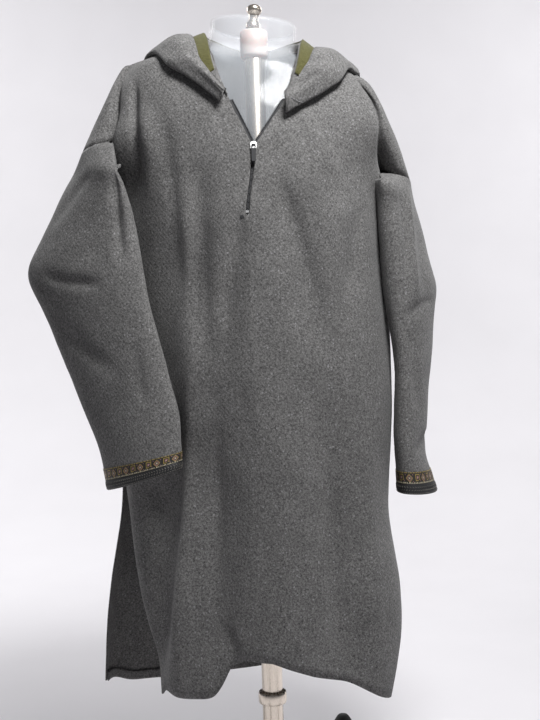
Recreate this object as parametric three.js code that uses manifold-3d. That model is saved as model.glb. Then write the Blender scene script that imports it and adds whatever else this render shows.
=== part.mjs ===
// A Kashmiri pheran in grey tweed, worn by a clear limbless torso form on a chrome pole stand.
// Millimetres, +Z up. The origin is on the floor, on the pole's axis. The front faces -Y.
// "Left" and "right" are a viewer's, facing the front.

import * as THREE from 'three';
import Module from 'manifold-3d';
import { mergeVertices } from 'three/addons/utils/BufferGeometryUtils.js';

// ---- cloth and seams ----
const TWEED = 2.0;
const FLEECE = 1.4;
const TAPE = 0.8;
const TRIM = 0.9;
const SEAM = 0.3;

// ---- the form leans to the right about its neck ----
const LEAN = THREE.MathUtils.degToRad(5.5);
const NECK_PIVOT = { x: -3, z: 1224 };

// Rings of the torso form, in its own upright frame: height, half width, half depths.
const TORSO = [
  { z: 600, half: 140, front: 86, back: 82 },
  { z: 720, half: 134, front: 82, back: 78 },
  { z: 860, half: 146, front: 88, back: 82 },
  { z: 1000, half: 168, front: 98, back: 92 },
  { z: 1080, half: 178, front: 93, back: 96 },
  { z: 1130, half: 183, front: 78, back: 92 },
  { z: 1158, half: 178, front: 66, back: 82 },
  { z: 1175, half: 160, front: 59, back: 74 },
  { z: 1190, half: 124, front: 53, back: 66 },
  { z: 1203, half: 77, front: 47, back: 60 },
  { z: 1214, half: 70, front: 50, back: 59 },
  { z: 1226, half: 69, front: 52, back: 57 },
  { z: 1249, half: 69, front: 54.5, back: 57 },
];
const TORSO_ROUND = 2.3;
const TORSO_WALL = 3;
const TORSO_SIDES = 24;
// How far below the form the cloth still hangs clear of it.
const TORSO_SHADOW = 90;

// ---- body of the pheran: outer surface ----
// Side edges, the zip's line and the depths to front and back, down the body, and how round
// the left of the front is, where the sleeve lies in its lee.
const BODY = [
  { z: 1240, left: -196, zip: -3, right: 146, front: 48, back: 72, sideFront: 4, sideBack: 4, round: 2.4 },
  { z: 1192, left: -200, zip: -3, right: 150, front: 62, back: 84, sideFront: 6, sideBack: 6, round: 2.4 },
  { z: 1150, left: -212, zip: -3, right: 160, front: 78, back: 98, sideFront: 24, sideBack: 26, round: 2.2 },
  { z: 1104, left: -213, zip: -3, right: 186, front: 95, back: 108, sideFront: 38, sideBack: 42, round: 2.0 },
  { z: 1061, left: -221, zip: -3, right: 189, front: 110, back: 114, sideFront: 46, sideBack: 48, round: 2 },
  { z: 1005, left: -226, zip: -6, right: 187, front: 122, back: 119, sideFront: 1, sideBack: 1, round: 1.6 },
  { z: 931, left: -228, zip: -16, right: 186, front: 133, back: 124, sideFront: 0, sideBack: 0, round: 1.45 },
  { z: 850, left: -228, zip: -16, right: 188, front: 138, back: 128, sideFront: 0, sideBack: 0, round: 1.35 },
  { z: 692, left: -228, zip: -10, right: 201, front: 146, back: 134, sideFront: 0, sideBack: 0, round: 1.3 },
  { z: 560, left: -227, zip: -4, right: 197, front: 151, back: 139, sideFront: 0, sideBack: 0, round: 1.3 },
  { z: 470, left: -217, zip: 0, right: 190, front: 154, back: 142, sideFront: 14, sideBack: 26, round: 1.4 },
  { z: 390, left: -206, zip: 0, right: 201, front: 157, back: 145, sideFront: 34, sideBack: 38, round: 1.5 },
  { z: 290, left: -187, zip: 0, right: 201, front: 161, back: 148, sideFront: 48, sideBack: 44, round: 1.6 },
  { z: 190, left: -170, zip: 0, right: 181, front: 165, back: 150, sideFront: 54, sideBack: 46, round: 1.6 },
];
// Where the back panel's edges run below the tops of the side slits.
const BACK_EDGE = [
  { z: 560, left: -227, right: 197 },
  { z: 458, left: -240, right: 192 },
  { z: 392, left: -254, right: 196 },
  { z: 298, left: -268, right: 194 },
  { z: 180, left: -276, right: 186 },
];
const SLIT_TOP = 560;
const ROUND_RIGHT = 2.6;
const ROUND_BACK = 2.4;

// Shoulder line, left to right, as the ridge between front and back.
const SHOULDER = [
  { x: -210, z: 1185 },
  { x: -200, z: 1193 },
  { x: -160, z: 1205 },
  { x: -120, z: 1217 },
  { x: -85, z: 1229 },
  { x: -72, z: 1238 },
  { x: -3, z: 1262 },
  { x: 66, z: 1226 },
  { x: 80, z: 1212 },
  { x: 120, z: 1186 },
  { x: 150, z: 1171 },
  { x: 170, z: 1160 },
];
// The cloth rounds over the shoulder line within this height of it.
const SHOULDER_DROP = 62;
// How far the cloth's outer face lies from the form, on the shoulder and lower down.
const CLEAR_TOP = TWEED + 0.5;
const CLEAR_BODY = 13;
// Neckline: from the shoulder line down the open V to the slider, and across the back.
const NECK_LEFT = -80;
const NECK_RIGHT = 75;
const NECKLINE = [
  { x: -80, z: 1230 },
  { x: -60, z: 1172 },
  { x: -41, z: 1112 },
  { x: -6, z: 1036 },
  { x: 0, z: 1036 },
  { x: 45, z: 1106 },
  { x: 58, z: 1150 },
  { x: 75, z: 1217 },
];
const BACK_NECK = [
  { x: -80, z: 1230 },
  { x: -40, z: 1224 },
  { x: 20, z: 1220 },
  { x: 75, z: 1217 },
];
const ZIP_TOP = 1036;
const ZIP_FOOT = 931;
const ZIP_GAP = 2.6;
// Half the front's width beside the zip, and the zip's gap as a share of it.
const HALF_FRONT = 210;
const SLIT_U = ZIP_GAP / HALF_FRONT;

// Middle heights of the chest and the hem, from which a column's ends are found.
const CHEST_Z = 1150;
const HEM_Z = 220;
// Hem of the front, left to right, and of the back.
const FRONT_HEM = [
  { x: -170, z: 206 },
  { x: -161, z: 222 },
  { x: -142, z: 217 },
  { x: -105, z: 218 },
  { x: -80, z: 226 },
  { x: -66, z: 262 },
  { x: -40, z: 281 },
  { x: 4, z: 279 },
  { x: 62, z: 257 },
  { x: 112, z: 246 },
  { x: 142, z: 228 },
  { x: 182, z: 200 },
];
const BACK_HEM = [
  { x: -276, z: 196 },
  { x: -242, z: 178 },
  { x: -150, z: 172 },
  { x: 0, z: 184 },
  { x: 120, z: 196 },
  { x: 186, z: 204 },
];

// Folds: a trough (negative) or ridge along a line from top to foot, with its half width.
const FRONT_FOLDS = [
  { topX: -150, topZ: 1130, footX: -118, footZ: 760, half: 15, rise: -7 },
  { topX: -186, topZ: 1120, footX: -197, footZ: 940, half: 11, rise: -9 },
  { topX: -82, topZ: 1060, footX: -95, footZ: 720, half: 16, rise: -8 },
  { topX: -110, topZ: 1010, footX: -104, footZ: 640, half: 17, rise: 8 },
  { topX: -18, topZ: 925, footX: -60, footZ: 700, half: 17, rise: -8 },
  { topX: 24, topZ: 990, footX: 92, footZ: 700, half: 24, rise: -8 },
  { topX: 45, topZ: 1070, footX: 140, footZ: 840, half: 26, rise: 5 },
  { topX: 150, topZ: 930, footX: 128, footZ: 760, half: 16, rise: -5 },
  { topX: -108, topZ: 820, footX: -150, footZ: 215, half: 21, rise: 16 },
  { topX: -160, topZ: 700, footX: -182, footZ: 260, half: 22, rise: -16 },
  { topX: -68, topZ: 620, footX: -70, footZ: 190, half: 24, rise: -10 },
  { topX: 90, topZ: 720, footX: 104, footZ: 260, half: 26, rise: -9 },
  { topX: 30, topZ: 700, footX: 20, footZ: 190, half: 34, rise: 8 },
  { topX: 150, topZ: 560, footX: 160, footZ: 190, half: 20, rise: 8 },
];
// Folds die away towards the side seams.
const FOLD_FADE = 3;
const FOLD_AT_SIDE = 0.15;
const BACK_FOLDS = [
  { topX: -130, topZ: 1100, footX: -150, footZ: 620, half: 22, rise: -9 },
  { topX: -60, topZ: 1000, footX: -80, footZ: 300, half: 26, rise: -9 },
  { topX: -110, topZ: 860, footX: -130, footZ: 190, half: 28, rise: 11 },
  { topX: 20, topZ: 960, footX: 10, footZ: 180, half: 30, rise: 8 },
  { topX: 70, topZ: 1060, footX: 60, footZ: 420, half: 24, rise: -9 },
  { topX: 120, topZ: 1040, footX: 128, footZ: 190, half: 26, rise: 9 },
  { topX: -210, topZ: 620, footX: -220, footZ: 190, half: 24, rise: -8 },
];

// Column places across a panel, from 0 at the middle to 1 at the side.
const MID_NECK_U = 0.17;
const NECK_U = 0.33;
const BACK_FIRST_U = 0.08;
// Steps down a column, as shares of its length from the top edge to the zip's foot.
const YOKE_STEPS = [0, 0.016, 0.055, 0.125, 0.235, 0.365, 0.5, 0.675, 0.83, 1];
const SKIRT_STEPS = 13;
const LEFT_SEAM_ROW = 6;
const RIGHT_SEAM_ROW = 7;

// ---- drop shoulders: the over-arm line and the fullness in front of and behind it ----
const CAP_COLUMNS = 6;
const CAP_SWEEP = THREE.MathUtils.degToRad(125);
const CAP_LEFT = [
  { row: 0, x: -209, z: 1188, full: 7 },
  { row: 1, x: -213, z: 1184, full: 10 },
  { row: 2, x: -220, z: 1172, full: 18 },
  { row: 3, x: -230, z: 1149, full: 32 },
  { row: 4, x: -243, z: 1120, full: 44 },
  { row: 5, x: -261, z: 1083, full: 53 },
  { row: 6, x: -281, z: 1042, full: 58 },
];
const CAP_RIGHT = [
  { row: 0, x: 161, z: 1166, full: 7 },
  { row: 1, x: 167, z: 1162, full: 10 },
  { row: 2, x: 177, z: 1154, full: 18 },
  { row: 3, x: 187, z: 1143, full: 30 },
  { row: 4, x: 199, z: 1116, full: 42 },
  { row: 5, x: 212, z: 1083, full: 50 },
  { row: 6, x: 226, z: 1047, full: 54 },
  { row: 7, x: 244, z: 987, full: 54 },
];

// ---- sleeves: sections down the arm ----
// Outer and inner edges as seen from the front, their depths, and half the fullness.
const SLEEVE_LEFT = [
  { outX: -296, outZ: 1016, outY: 0, inX: -214, inZ: 1014, inY: -92, half: 30 },
  { outX: -310, outZ: 990, outY: -4, inX: -200, inZ: 984, inY: -92, half: 33 },
  { outX: -336, outZ: 936, outY: -8, inX: -187, inZ: 928, inY: -86, half: 38 },
  { outX: -356, outZ: 897, outY: -10, inX: -180, inZ: 892, inY: -92, half: 36 },
  { outX: -370, outZ: 862, outY: -12, inX: -174, inZ: 855, inY: -98, half: 35 },
  { outX: -356, outZ: 826, outY: -16, inX: -167, inZ: 808, inY: -104, half: 34 },
  { outX: -334, outZ: 778, outY: -24, inX: -155, inZ: 757, inY: -112, half: 33 },
  { outX: -306, outZ: 712, outY: -38, inX: -137, inZ: 690, inY: -124, half: 32 },
  { outX: -276, outZ: 640, outY: -56, inX: -124, inZ: 638, inY: -138, half: 32 },
  { outX: -256, outZ: 594, outY: -68, inX: -122, inZ: 608, inY: -144, half: 34 },
  { outX: -247, outZ: 560, outY: -74, inX: -121, inZ: 588, inY: -147, half: 36 },
  { outX: -241, outZ: 525, outY: -78, inX: -122, inZ: 562, inY: -150, half: 38 },
];
const SLEEVE_RIGHT = [
  { outX: 250, outZ: 966, outY: 22, inX: 190, inZ: 984, inY: -44, half: 52 },
  { outX: 257, outZ: 940, outY: 24, inX: 188, inZ: 952, inY: -48, half: 54 },
  { outX: 269, outZ: 893, outY: 24, inX: 189, inZ: 900, inY: -51, half: 55 },
  { outX: 279, outZ: 846, outY: 22, inX: 191, inZ: 850, inY: -54, half: 55 },
  { outX: 283, outZ: 822, outY: 20, inX: 193, inZ: 818, inY: -56, half: 53 },
  { outX: 278, outZ: 786, outY: 16, inX: 196, inZ: 776, inY: -58, half: 50 },
  { outX: 271, outZ: 727, outY: 8, inX: 202, inZ: 714, inY: -60, half: 48 },
  { outX: 263, outZ: 664, outY: 0, inX: 202, inZ: 660, inY: -61, half: 47 },
  { outX: 257, outZ: 606, outY: -6, inX: 199, inZ: 606, inY: -62, half: 47 },
  { outX: 253, outZ: 566, outY: -8, inX: 199, inZ: 570, inY: -62, half: 48 },
  { outX: 260, outZ: 540, outY: -8, inX: 200, inZ: 543, inY: -62, half: 49 },
  { outX: 270, outZ: 502, outY: -8, inX: 202, inZ: 507, inY: -62, half: 50 },
];
const SLEEVE_SWEEP = Math.PI * 0.79;
const SLEEVE_SEAM = 2 * SEAM;
const UNDERARM_COLUMNS = 4;
// How far the sleeve's seam drops under the arm, and lies out from the body there.
const UNDERARM = { drop: 34, outFront: 4, outBack: 4, outMiddle: 16 };
// Rings down a sleeve, counted in rows of its table; the last three bound the two cuff bands.
const SLEEVE_RINGS = [0, 0.9, 1.8, 2.7, 3.6, 4.4, 5.2, 6.1, 7, 8, 9, 10.07, 10.55, 11];
const GILT_RING = 11;
const BRAID_RING = 12;

// Where a band's two edges lie between its rings.
const BAND_EDGES = [0.02, 0.98];
const HEM_DEPTH = 15;
const HEM_GAP = 1.9;

// ---- zip ----
const TAPE_TOP = 1108;
const TAPE_FOOT = ZIP_FOOT - 6;
const TAPE_UNDER = 8;
const TAPE_SHOWN = 5;
const TAPE_SLACK = 1.1;
const TAPE_ROWS = 14;
const CHAIN_THICK = 1.5;
const CHAIN = { top: ZIP_TOP - 12, foot: ZIP_FOOT + 6, half: 1.8, rows: 8 };
const STOP = { top: ZIP_FOOT + 5, foot: ZIP_FOOT + 1.5, half: 2.2, rows: 1 };
const SLIDER_Z = 1033;
const SLIDER = { width: 9, height: 12, thick: 3.4, corner: 3, lift: 0.5, extraTilt: 0.03 };
const BRIDGE = { half: 4.2, out: 3.8, wire: 1.2, width: 2.4, sunk: 0.4, eye: 1.2 };
const PIVOT_UP = 0.5;
const PULL = { width: 6.4, length: 27, thick: 1.2, bar: 1.2, arm: 1.2, window: 5.4, corner: 1.6 };

// ---- hood, lying down: seam, roll, low fold and face edge, from the zip round to the nape ----
const HOOD_LEFT = [
  { seam: [-43, -84, 1116], roll: [-44, -90, 1124], fold: [-54, -108, 1104], edge: [-43, -106, 1119] },
  { seam: [-57, -80, 1152], roll: [-61, -88, 1154], fold: [-92, -95, 1138], edge: [-62, -98, 1144] },
  { seam: [-68, -58, 1186], roll: [-70, -64, 1194], fold: [-136, -62, 1172], edge: [-83, -80, 1181] },
  { seam: [-78, -22, 1217], roll: [-79, -24, 1229], fold: [-170, -18, 1192], edge: [-103, -22, 1226] },
  { seam: [-82, 10, 1234], roll: [-83, 14, 1248], fold: [-181, 40, 1197], edge: [-110, 28, 1250] },
  { seam: [-70, 52, 1232], roll: [-73, 54, 1252], fold: [-158, 108, 1122], edge: [-104, 80, 1250] },
  { seam: [-40, 74, 1231], roll: [-42, 79, 1251], fold: [-92, 154, 1018], edge: [-56, 114, 1246] },
  { seam: [-4.8, 80, 1231], roll: [-4.8, 86, 1250], fold: [-4.8, 162, 985], edge: [-4.8, 124, 1242] },
];
const HOOD_RIGHT = [
  { seam: [46, -84, 1110], roll: [46, -90, 1118], fold: [46, -112, 1082], edge: [45, -106, 1113] },
  { seam: [58, -78, 1142], roll: [62, -87, 1146], fold: [98, -95, 1112], edge: [66, -98, 1140] },
  { seam: [67, -58, 1174], roll: [70, -64, 1182], fold: [134, -64, 1140], edge: [84, -78, 1172] },
  { seam: [75, -22, 1203], roll: [76, -24, 1216], fold: [160, -18, 1166], edge: [104, -24, 1208] },
  { seam: [79, 10, 1222], roll: [79, 14, 1236], fold: [172, 40, 1168], edge: [112, 26, 1228] },
  { seam: [68, 52, 1224], roll: [71, 54, 1244], fold: [158, 112, 1092], edge: [104, 80, 1240] },
  { seam: [37, 74, 1228], roll: [39, 79, 1248], fold: [90, 152, 1012], edge: [54, 114, 1243] },
  { seam: [-1.2, 80, 1231], roll: [-1.2, 86, 1250], fold: [-1.2, 162, 985], edge: [-1.2, 124, 1242] },
];
const HOOD_COLUMNS = 15;
// Places down a hood section, counted in its eight points from seam to face edge.
const HOOD_STEPS = [0, 1, 1.5, 2, 2.6, 3, 3.5, 4, 4.5, 5, 5.5, 6, 6.5, 7];
const HOOD_TURN = 12;
const HOOD_TURN_FLAT = 0.8;
const HOOD_CROWN = 9;
// The fold is fuller away from the zip, up to its whole size.
const HOOD_FULL_FRONT = 0.6;
const HOOD_FULL_GAIN = 1.4;
const HOOD_CLEAR = 4;
const HOOD_CLEAR_BACK = 10;
const HOOD_SEATED = { left: 1.9, right: 1.2 };
// Where along its length the hood passes over the shoulder to the back.
const HOOD_BEHIND = { from: 0.45, to: 0.65 };
// Which way the hood's upper layer faces, as a tip from straight up towards the back.
const HOOD_FACING = { front: THREE.MathUtils.degToRad(-72), nape: THREE.MathUtils.degToRad(76) };
// The lining starts this many columns from the zip.
const LINING_START = 2;
// It covers the under layer, between these rows, which is what shows.
const LINING_ROWS = [1, 5];
const LINING_GAP = 0.7;

// ---- stand ----
// Turned pieces are profiles of radius and height.
const POLE_R = 16.5;
const POLE_TOP = 1196;
const SOCKET_FLOOR = 8;
const POLE = [[0, SOCKET_FLOOR + SEAM], [POLE_R, SOCKET_FLOOR + SEAM], [POLE_R, POLE_TOP], [0, POLE_TOP]];
const BUSH_R = 22;
const BUSH_FOOT = POLE_TOP + SEAM;
const BUSH_TOP = 1240.5;
const BUSH = [
  [0, BUSH_FOOT],
  [BUSH_R - 4, BUSH_FOOT],
  [BUSH_R, BUSH_FOOT + 5],
  [BUSH_R, BUSH_TOP - 3],
  [BUSH_R - 3, BUSH_TOP],
  [0, BUSH_TOP],
];
const COLLAR_Z = 168;
const COLLAR = [
  [POLE_R + SEAM, COLLAR_Z],
  [POLE_R + 5, COLLAR_Z],
  [POLE_R + 6, COLLAR_Z + 3],
  [POLE_R + 6, COLLAR_Z + 15],
  [POLE_R + 5, COLLAR_Z + 18],
  [POLE_R + SEAM, COLLAR_Z + 18],
  [POLE_R + SEAM, COLLAR_Z],
];
const HUB_R = 34;
const HUB_TOP = 96;
const HUB = [
  [0, 0],
  [HUB_R, 0],
  [HUB_R, HUB_TOP - 8],
  [HUB_R - 8, HUB_TOP],
  [POLE_R + SEAM, HUB_TOP],
  [POLE_R + SEAM, SOCKET_FLOOR],
  [0, SOCKET_FLOOR],
];
const FOOT_REACH = 280;
const FOOT = {
  atLeg: 16.5,
  profile: [[0, 0], [19, 0], [19, 10], [16.5, 18], [16.5, 42], [13, 50], [8, 56], [4, 57], [0, 57]],
};
const LEG_R = 12;
const LEG_Z = 30;
const LEG_SIDES = 14;
const PLATE_Z = 1243;
const PLATE_THICK = 4;
const PLATE_GAP = 1;
const KNOB = [[0, 0], [12, 0], [12, 6], [8, 10], [8, 20], [12, 24], [12.5, 30], [10, 35], [0, 37]];
const LEG_ANGLES = { back_right: 63, back_left: 153, front_left: 243, front_right: 333 };

// ---- tables and curves ----

// The smooth value of one column of a table, at a place along another column.
function along(rows, by, column, at) {
  const rising = rows[rows.length - 1][by] > rows[0][by];
  let i = 0;
  while (i < rows.length - 2 && (rising ? at > rows[i + 1][by] : at < rows[i + 1][by])) i += 1;
  const low = rows[i];
  const high = rows[i + 1];
  const span = high[by] - low[by];
  const t = THREE.MathUtils.clamp((at - low[by]) / span, 0, 1);
  const slope = (j) => {
    const before = rows[Math.max(j - 1, 0)];
    const after = rows[Math.min(j + 1, rows.length - 1)];
    return (after[column] - before[column]) / (after[by] - before[by]) * span;
  };
  const rise = high[column] - low[column];
  const m0 = slope(i);
  const m1 = slope(i + 1);
  return low[column] + m0 * t + (3 * rise - 2 * m0 - m1) * t * t + (m0 + m1 - 2 * rise) * t * t * t;
}

function straight(rows, by, column, at) {
  let i = 0;
  while (i < rows.length - 2 && at > rows[i + 1][by]) i += 1;
  const t = THREE.MathUtils.clamp((at - rows[i][by]) / (rows[i + 1][by] - rows[i][by]), 0, 1);
  return THREE.MathUtils.lerp(rows[i][column], rows[i + 1][column], t);
}

const superRound = (u, n) => Math.pow(Math.max(0, 1 - Math.pow(Math.abs(u), n)), 1 / n);

// ---- the form under the cloth ----

// How deep the torso form is, to the front (-1) or back (+1), behind a point seen from the front.
// The form is taken larger by a margin all round.
function torsoDepth(x, z, side, margin) {
  const dx = x - NECK_PIVOT.x;
  const dz = z - NECK_PIVOT.z;
  const ownX = dx * Math.cos(LEAN) - dz * Math.sin(LEAN);
  const tilted = NECK_PIVOT.z + dx * Math.sin(LEAN) + dz * Math.cos(LEAN);
  if (tilted < TORSO[0].z - TORSO_SHADOW || tilted > TORSO[TORSO.length - 1].z) return 0;
  const ownZ = Math.max(tilted, TORSO[0].z);
  const half = along(TORSO, 'z', 'half', ownZ) + margin;
  if (Math.abs(ownX) >= half) return 0;
  const depth = along(TORSO, 'z', side < 0 ? 'front' : 'back', ownZ) + margin;
  return depth * superRound(ownX / half, TORSO_ROUND);
}

// ---- outer surface of the body ----

function foldRise(folds, x, z) {
  let rise = 0;
  for (const fold of folds) {
    const t = (fold.topZ - z) / (fold.topZ - fold.footZ);
    if (t < 0 || t > 1) continue;
    const line = THREE.MathUtils.lerp(fold.topX, fold.footX, t);
    const fade = Math.min(1, 4 * t, fold.footZ < SLIT_TOP ? 1 : 4 * (1 - t));
    rise += fold.rise * fade * Math.exp(-Math.pow((x - line) / fold.half, 2));
  }
  return rise;
}

const ridgeHeight = (x) => along(SHOULDER, 'x', 'z', x);

// The y of the cloth's outer face at x and z, for the front (-1) or the back (+1).
function clothDepth(x, z, u, side) {
  const roundFront = u < 0 ? along(BODY, 'z', 'round', z) : ROUND_RIGHT;
  const round = side > 0 ? ROUND_BACK : roundFront;
  const edge = along(BODY, 'z', side < 0 ? 'sideFront' : 'sideBack', z);
  const full = along(BODY, 'z', side < 0 ? 'front' : 'back', z);
  const below = THREE.MathUtils.clamp((ridgeHeight(x) - z) / SHOULDER_DROP, 0, 1);
  const overShoulder = Math.sqrt(1 - (1 - below) * (1 - below));
  const towardsSide = Math.min(1, FOLD_FADE * (1 - Math.abs(u)) + FOLD_AT_SIDE);
  const folds = foldRise(side < 0 ? FRONT_FOLDS : BACK_FOLDS, x, z) * towardsSide;
  const hung = (edge + (full - edge) * superRound(u, round) + folds) * overShoulder;
  const margin = THREE.MathUtils.lerp(CLEAR_TOP, CLEAR_BODY, Math.min(1, 4 * below));
  const worn = torsoDepth(x, z - CLEAR_TOP, side, margin) * Math.min(1, below * 40);
  return side * Math.max(hung, worn, SEAM / 2);
}

// Moves a point outwards or up, whichever is less, until it is a margin clear of the body's cloth.
function clearOfBody(point, margin) {
  const side = point.y < 0 ? -1 : 1;
  const depth = (z) => {
    if (z >= ridgeHeight(point.x)) return 0;
    const [left, zip, right] = edgesAt(z, side);
    const u = THREE.MathUtils.clamp((point.x - zip) / (point.x < zip ? zip - left : right - zip), -1, 1);
    return Math.abs(clothDepth(point.x, z, u, side));
  };
  const push = depth(point.z - margin) + margin - Math.abs(point.y);
  if (point.z - margin >= ridgeHeight(point.x) || push <= 0) return point;
  let low = point.z - margin;
  let high = ridgeHeight(point.x);
  for (let k = 0; k < 14; k += 1) {
    const middle = (low + high) / 2;
    if (depth(middle) + margin > Math.abs(point.y)) low = middle;
    else high = middle;
  }
  const lift = high + margin - point.z;
  if (lift < push) point.z += lift;
  else point.y += side * push;
  return point;
}

// Body column positions u: -1 at the left edge, 0 on the zip's line, 1 at the right edge.
function spread(from, to, count, dense) {
  const steps = [];
  for (let k = 1; k <= count; k += 1) {
    const t = dense ? Math.sin((Math.PI / 2) * (k / count)) : k / count;
    steps.push(from + (to - from) * t);
  }
  return steps;
}
// The columns lie closer together by the zip and the neckline, and towards the sides.
const frontHalf = [
  SLIT_U,
  ...spread(SLIT_U, MID_NECK_U, 3),
  ...spread(MID_NECK_U, NECK_U, 3),
  ...spread(NECK_U, 1, 9, true),
];
const FRONT_U = [...frontHalf.map((u) => -u).reverse(), ...frontHalf];
const backHalf = [BACK_FIRST_U, ...spread(BACK_FIRST_U, NECK_U, 2), ...spread(NECK_U, 1, 8, true)];
const BACK_U = [...backHalf.map((u) => -u).reverse(), ...backHalf];

function edgesAt(z, side) {
  const table = side > 0 && z < SLIT_TOP ? BACK_EDGE : BODY;
  return [along(table, 'z', 'left', z), along(BODY, 'z', 'zip', z), along(table, 'z', 'right', z)];
}

function bodyX(u, z, side) {
  const [left, zip, right] = edgesAt(z, side);
  return u < 0 ? THREE.MathUtils.lerp(zip, left, -u) : THREE.MathUtils.lerp(zip, right, u);
}

// The height at which column u meets a boundary line given by x.
function meet(u, side, line, start) {
  let z = start;
  for (let k = 0; k < 12; k += 1) z = 0.5 * z + 0.5 * line(bodyX(u, z, side));
  return z;
}

function topLine(side) {
  return (x) => {
    if (x < NECK_LEFT || x > NECK_RIGHT) return ridgeHeight(x);
    return straight(side < 0 ? NECKLINE : BACK_NECK, 'x', 'z', x);
  };
}
const hemLine = (side) => (x) => straight(side < 0 ? FRONT_HEM : BACK_HEM, 'x', 'z', x);

function bodyPoint(u, z, side) {
  const x = bodyX(u, z, side);
  return new THREE.Vector3(x, clothDepth(x, z, u, side), z);
}

function bodyColumn(u, side) {
  const slit = Math.abs(u) <= SLIT_U * 1.01 && side < 0;
  const top = slit ? ZIP_TOP : meet(u, side, topLine(side), CHEST_Z);
  const hem = meet(u, side, hemLine(side), HEM_Z);
  const heights = YOKE_STEPS.map((t) => THREE.MathUtils.lerp(top, ZIP_FOOT, t));
  for (let k = 1; k <= SKIRT_STEPS; k += 1) {
    heights.push(THREE.MathUtils.lerp(ZIP_FOOT, hem, k / SKIRT_STEPS));
  }
  return heights.map((z) => bodyPoint(u, z, side));
}

// The drop shoulder beside the outermost body column: arcs from the over-arm line to the crease.
function capColumns(edgeColumn, table, side) {
  const columns = [];
  for (let c = 0; c < CAP_COLUMNS; c += 1) {
    const angle = (CAP_SWEEP * c) / CAP_COLUMNS;
    const across = (1 - Math.cos(angle)) / (1 - Math.cos(CAP_SWEEP));
    columns.push(table.map(({ x, z, full }, row) => {
      const crease = edgeColumn[row];
      const creaseY = Math.abs(crease.y) - full * Math.sin(CAP_SWEEP);
      const y = Math.max(SEAM / 2, full * Math.sin(angle) + creaseY * across);
      const sag = c / CAP_COLUMNS;
      return new THREE.Vector3(
        THREE.MathUtils.lerp(x, crease.x, across),
        side * y,
        THREE.MathUtils.lerp(z, crease.z, sag),
      );
    }));
  }
  return columns;
}

function panel(side) {
  const body = (side < 0 ? FRONT_U : BACK_U).map((u) => bodyColumn(u, side));
  const left = capColumns(body[0], CAP_LEFT, side);
  const right = capColumns(body[body.length - 1], CAP_RIGHT, side).reverse();
  return { body, left, right };
}

// ---- walls ----

// A cloth wall: outer points in a grid of columns, thickened to the inside and closed at its rims.
// Columns may be shorter than others: cells with a missing corner are left out.
function clothWall(columns, thickness, options = {}) {
  const { wrap = false, flip = false, keep = () => true, limit = () => {} } = options;
  const count = columns.length;
  const at = (c, r) => columns[wrap ? (c + count) % count : c]?.[r];
  const cells = [];
  const rows = Math.max(...columns.map((column) => column.length)) - 1;
  for (let c = 0; c < (wrap ? count : count - 1); c += 1) {
    for (let r = 0; r < rows; r += 1) {
      const corners = [at(c, r), at(c, r + 1), at(c + 1, r + 1), at(c + 1, r)];
      if (corners.every(Boolean) && keep(c, r)) cells.push(flip ? corners.reverse() : corners);
    }
  }
  const index = new Map();
  const normals = [];
  const points = [];
  for (const cell of cells) {
    const across = new THREE.Vector3().subVectors(cell[2], cell[0]);
    const down = new THREE.Vector3().subVectors(cell[3], cell[1]);
    const normal = across.cross(down).normalize();
    for (const point of cell) {
      if (!index.has(point)) {
        index.set(point, points.length);
        points.push(point);
        normals.push(new THREE.Vector3());
      }
      normals[index.get(point)].add(normal);
    }
  }
  normals.forEach((normal) => normal.normalize());
  const inner = points.map((point, k) => point.clone().addScaledVector(normals[k], -thickness));
  inner.forEach((point, k) => limit(point, points[k]));
  const size = points.length;
  const faces = [];
  const open = new Map();
  for (const cell of cells) {
    const [a, b, d, e] = cell.map((point) => index.get(point));
    faces.push(a, b, d, a, d, e, a + size, d + size, b + size, a + size, e + size, d + size);
    for (const [p, q] of [[a, b], [b, d], [d, e], [e, a]]) {
      if (open.has(`${q},${p}`)) open.delete(`${q},${p}`);
      else open.set(`${p},${q}`, [p, q]);
    }
  }
  for (const [p, q] of open.values()) faces.push(q, p, p + size, q, p + size, q + size);
  const geometry = new THREE.BufferGeometry().setFromPoints([...points, ...inner]);
  geometry.setIndex(faces);
  geometry.computeVertexNormals();
  geometry.userData.normalAt = new Map(points.map((point, k) => [point, normals[k]]));
  return geometry;
}

// The same grid of points, moved out along the wall's own normals.
function movedOut(columns, geometry, distance) {
  const { normalAt } = geometry.userData;
  const moved = (point) => point.clone().addScaledVector(normalAt.get(point), distance);
  return columns.map((column) => column.map(moved));
}

// ---- scene graph ----

const model = new THREE.Group();
model.name = 'pheran';

function add(name, geometry, material, parent = model) {
  const mesh = new THREE.Mesh(geometry, material);
  mesh.name = name;
  parent.add(mesh);
  return mesh;
}

function finish(color, roughness, metalness = 0) {
  return new THREE.MeshStandardMaterial({ color, roughness, metalness });
}
const tweed = finish('#5c5c5f', 0.95);
const fleece = finish('#64673f', 0.95);
const blackTape = finish('#17171a', 0.7);
const gilt = finish('#a8904a', 0.5, 0.4);
const braid = finish('#1d1c22', 0.85);
const silver = finish('#c9cacd', 0.25, 1);
const clearPlastic = finish('#e3ecef', 0.15);
clearPlastic.transparent = true;
clearPlastic.opacity = 0.35;
const pinkPlastic = finish('#e3c9c9', 0.4);
const chrome = finish('#d5d6d8', 0.12, 1);
const rubber = finish('#161616', 0.8);

// ---- body panels ----

const front = panel(-1);
const back = panel(1);

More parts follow.
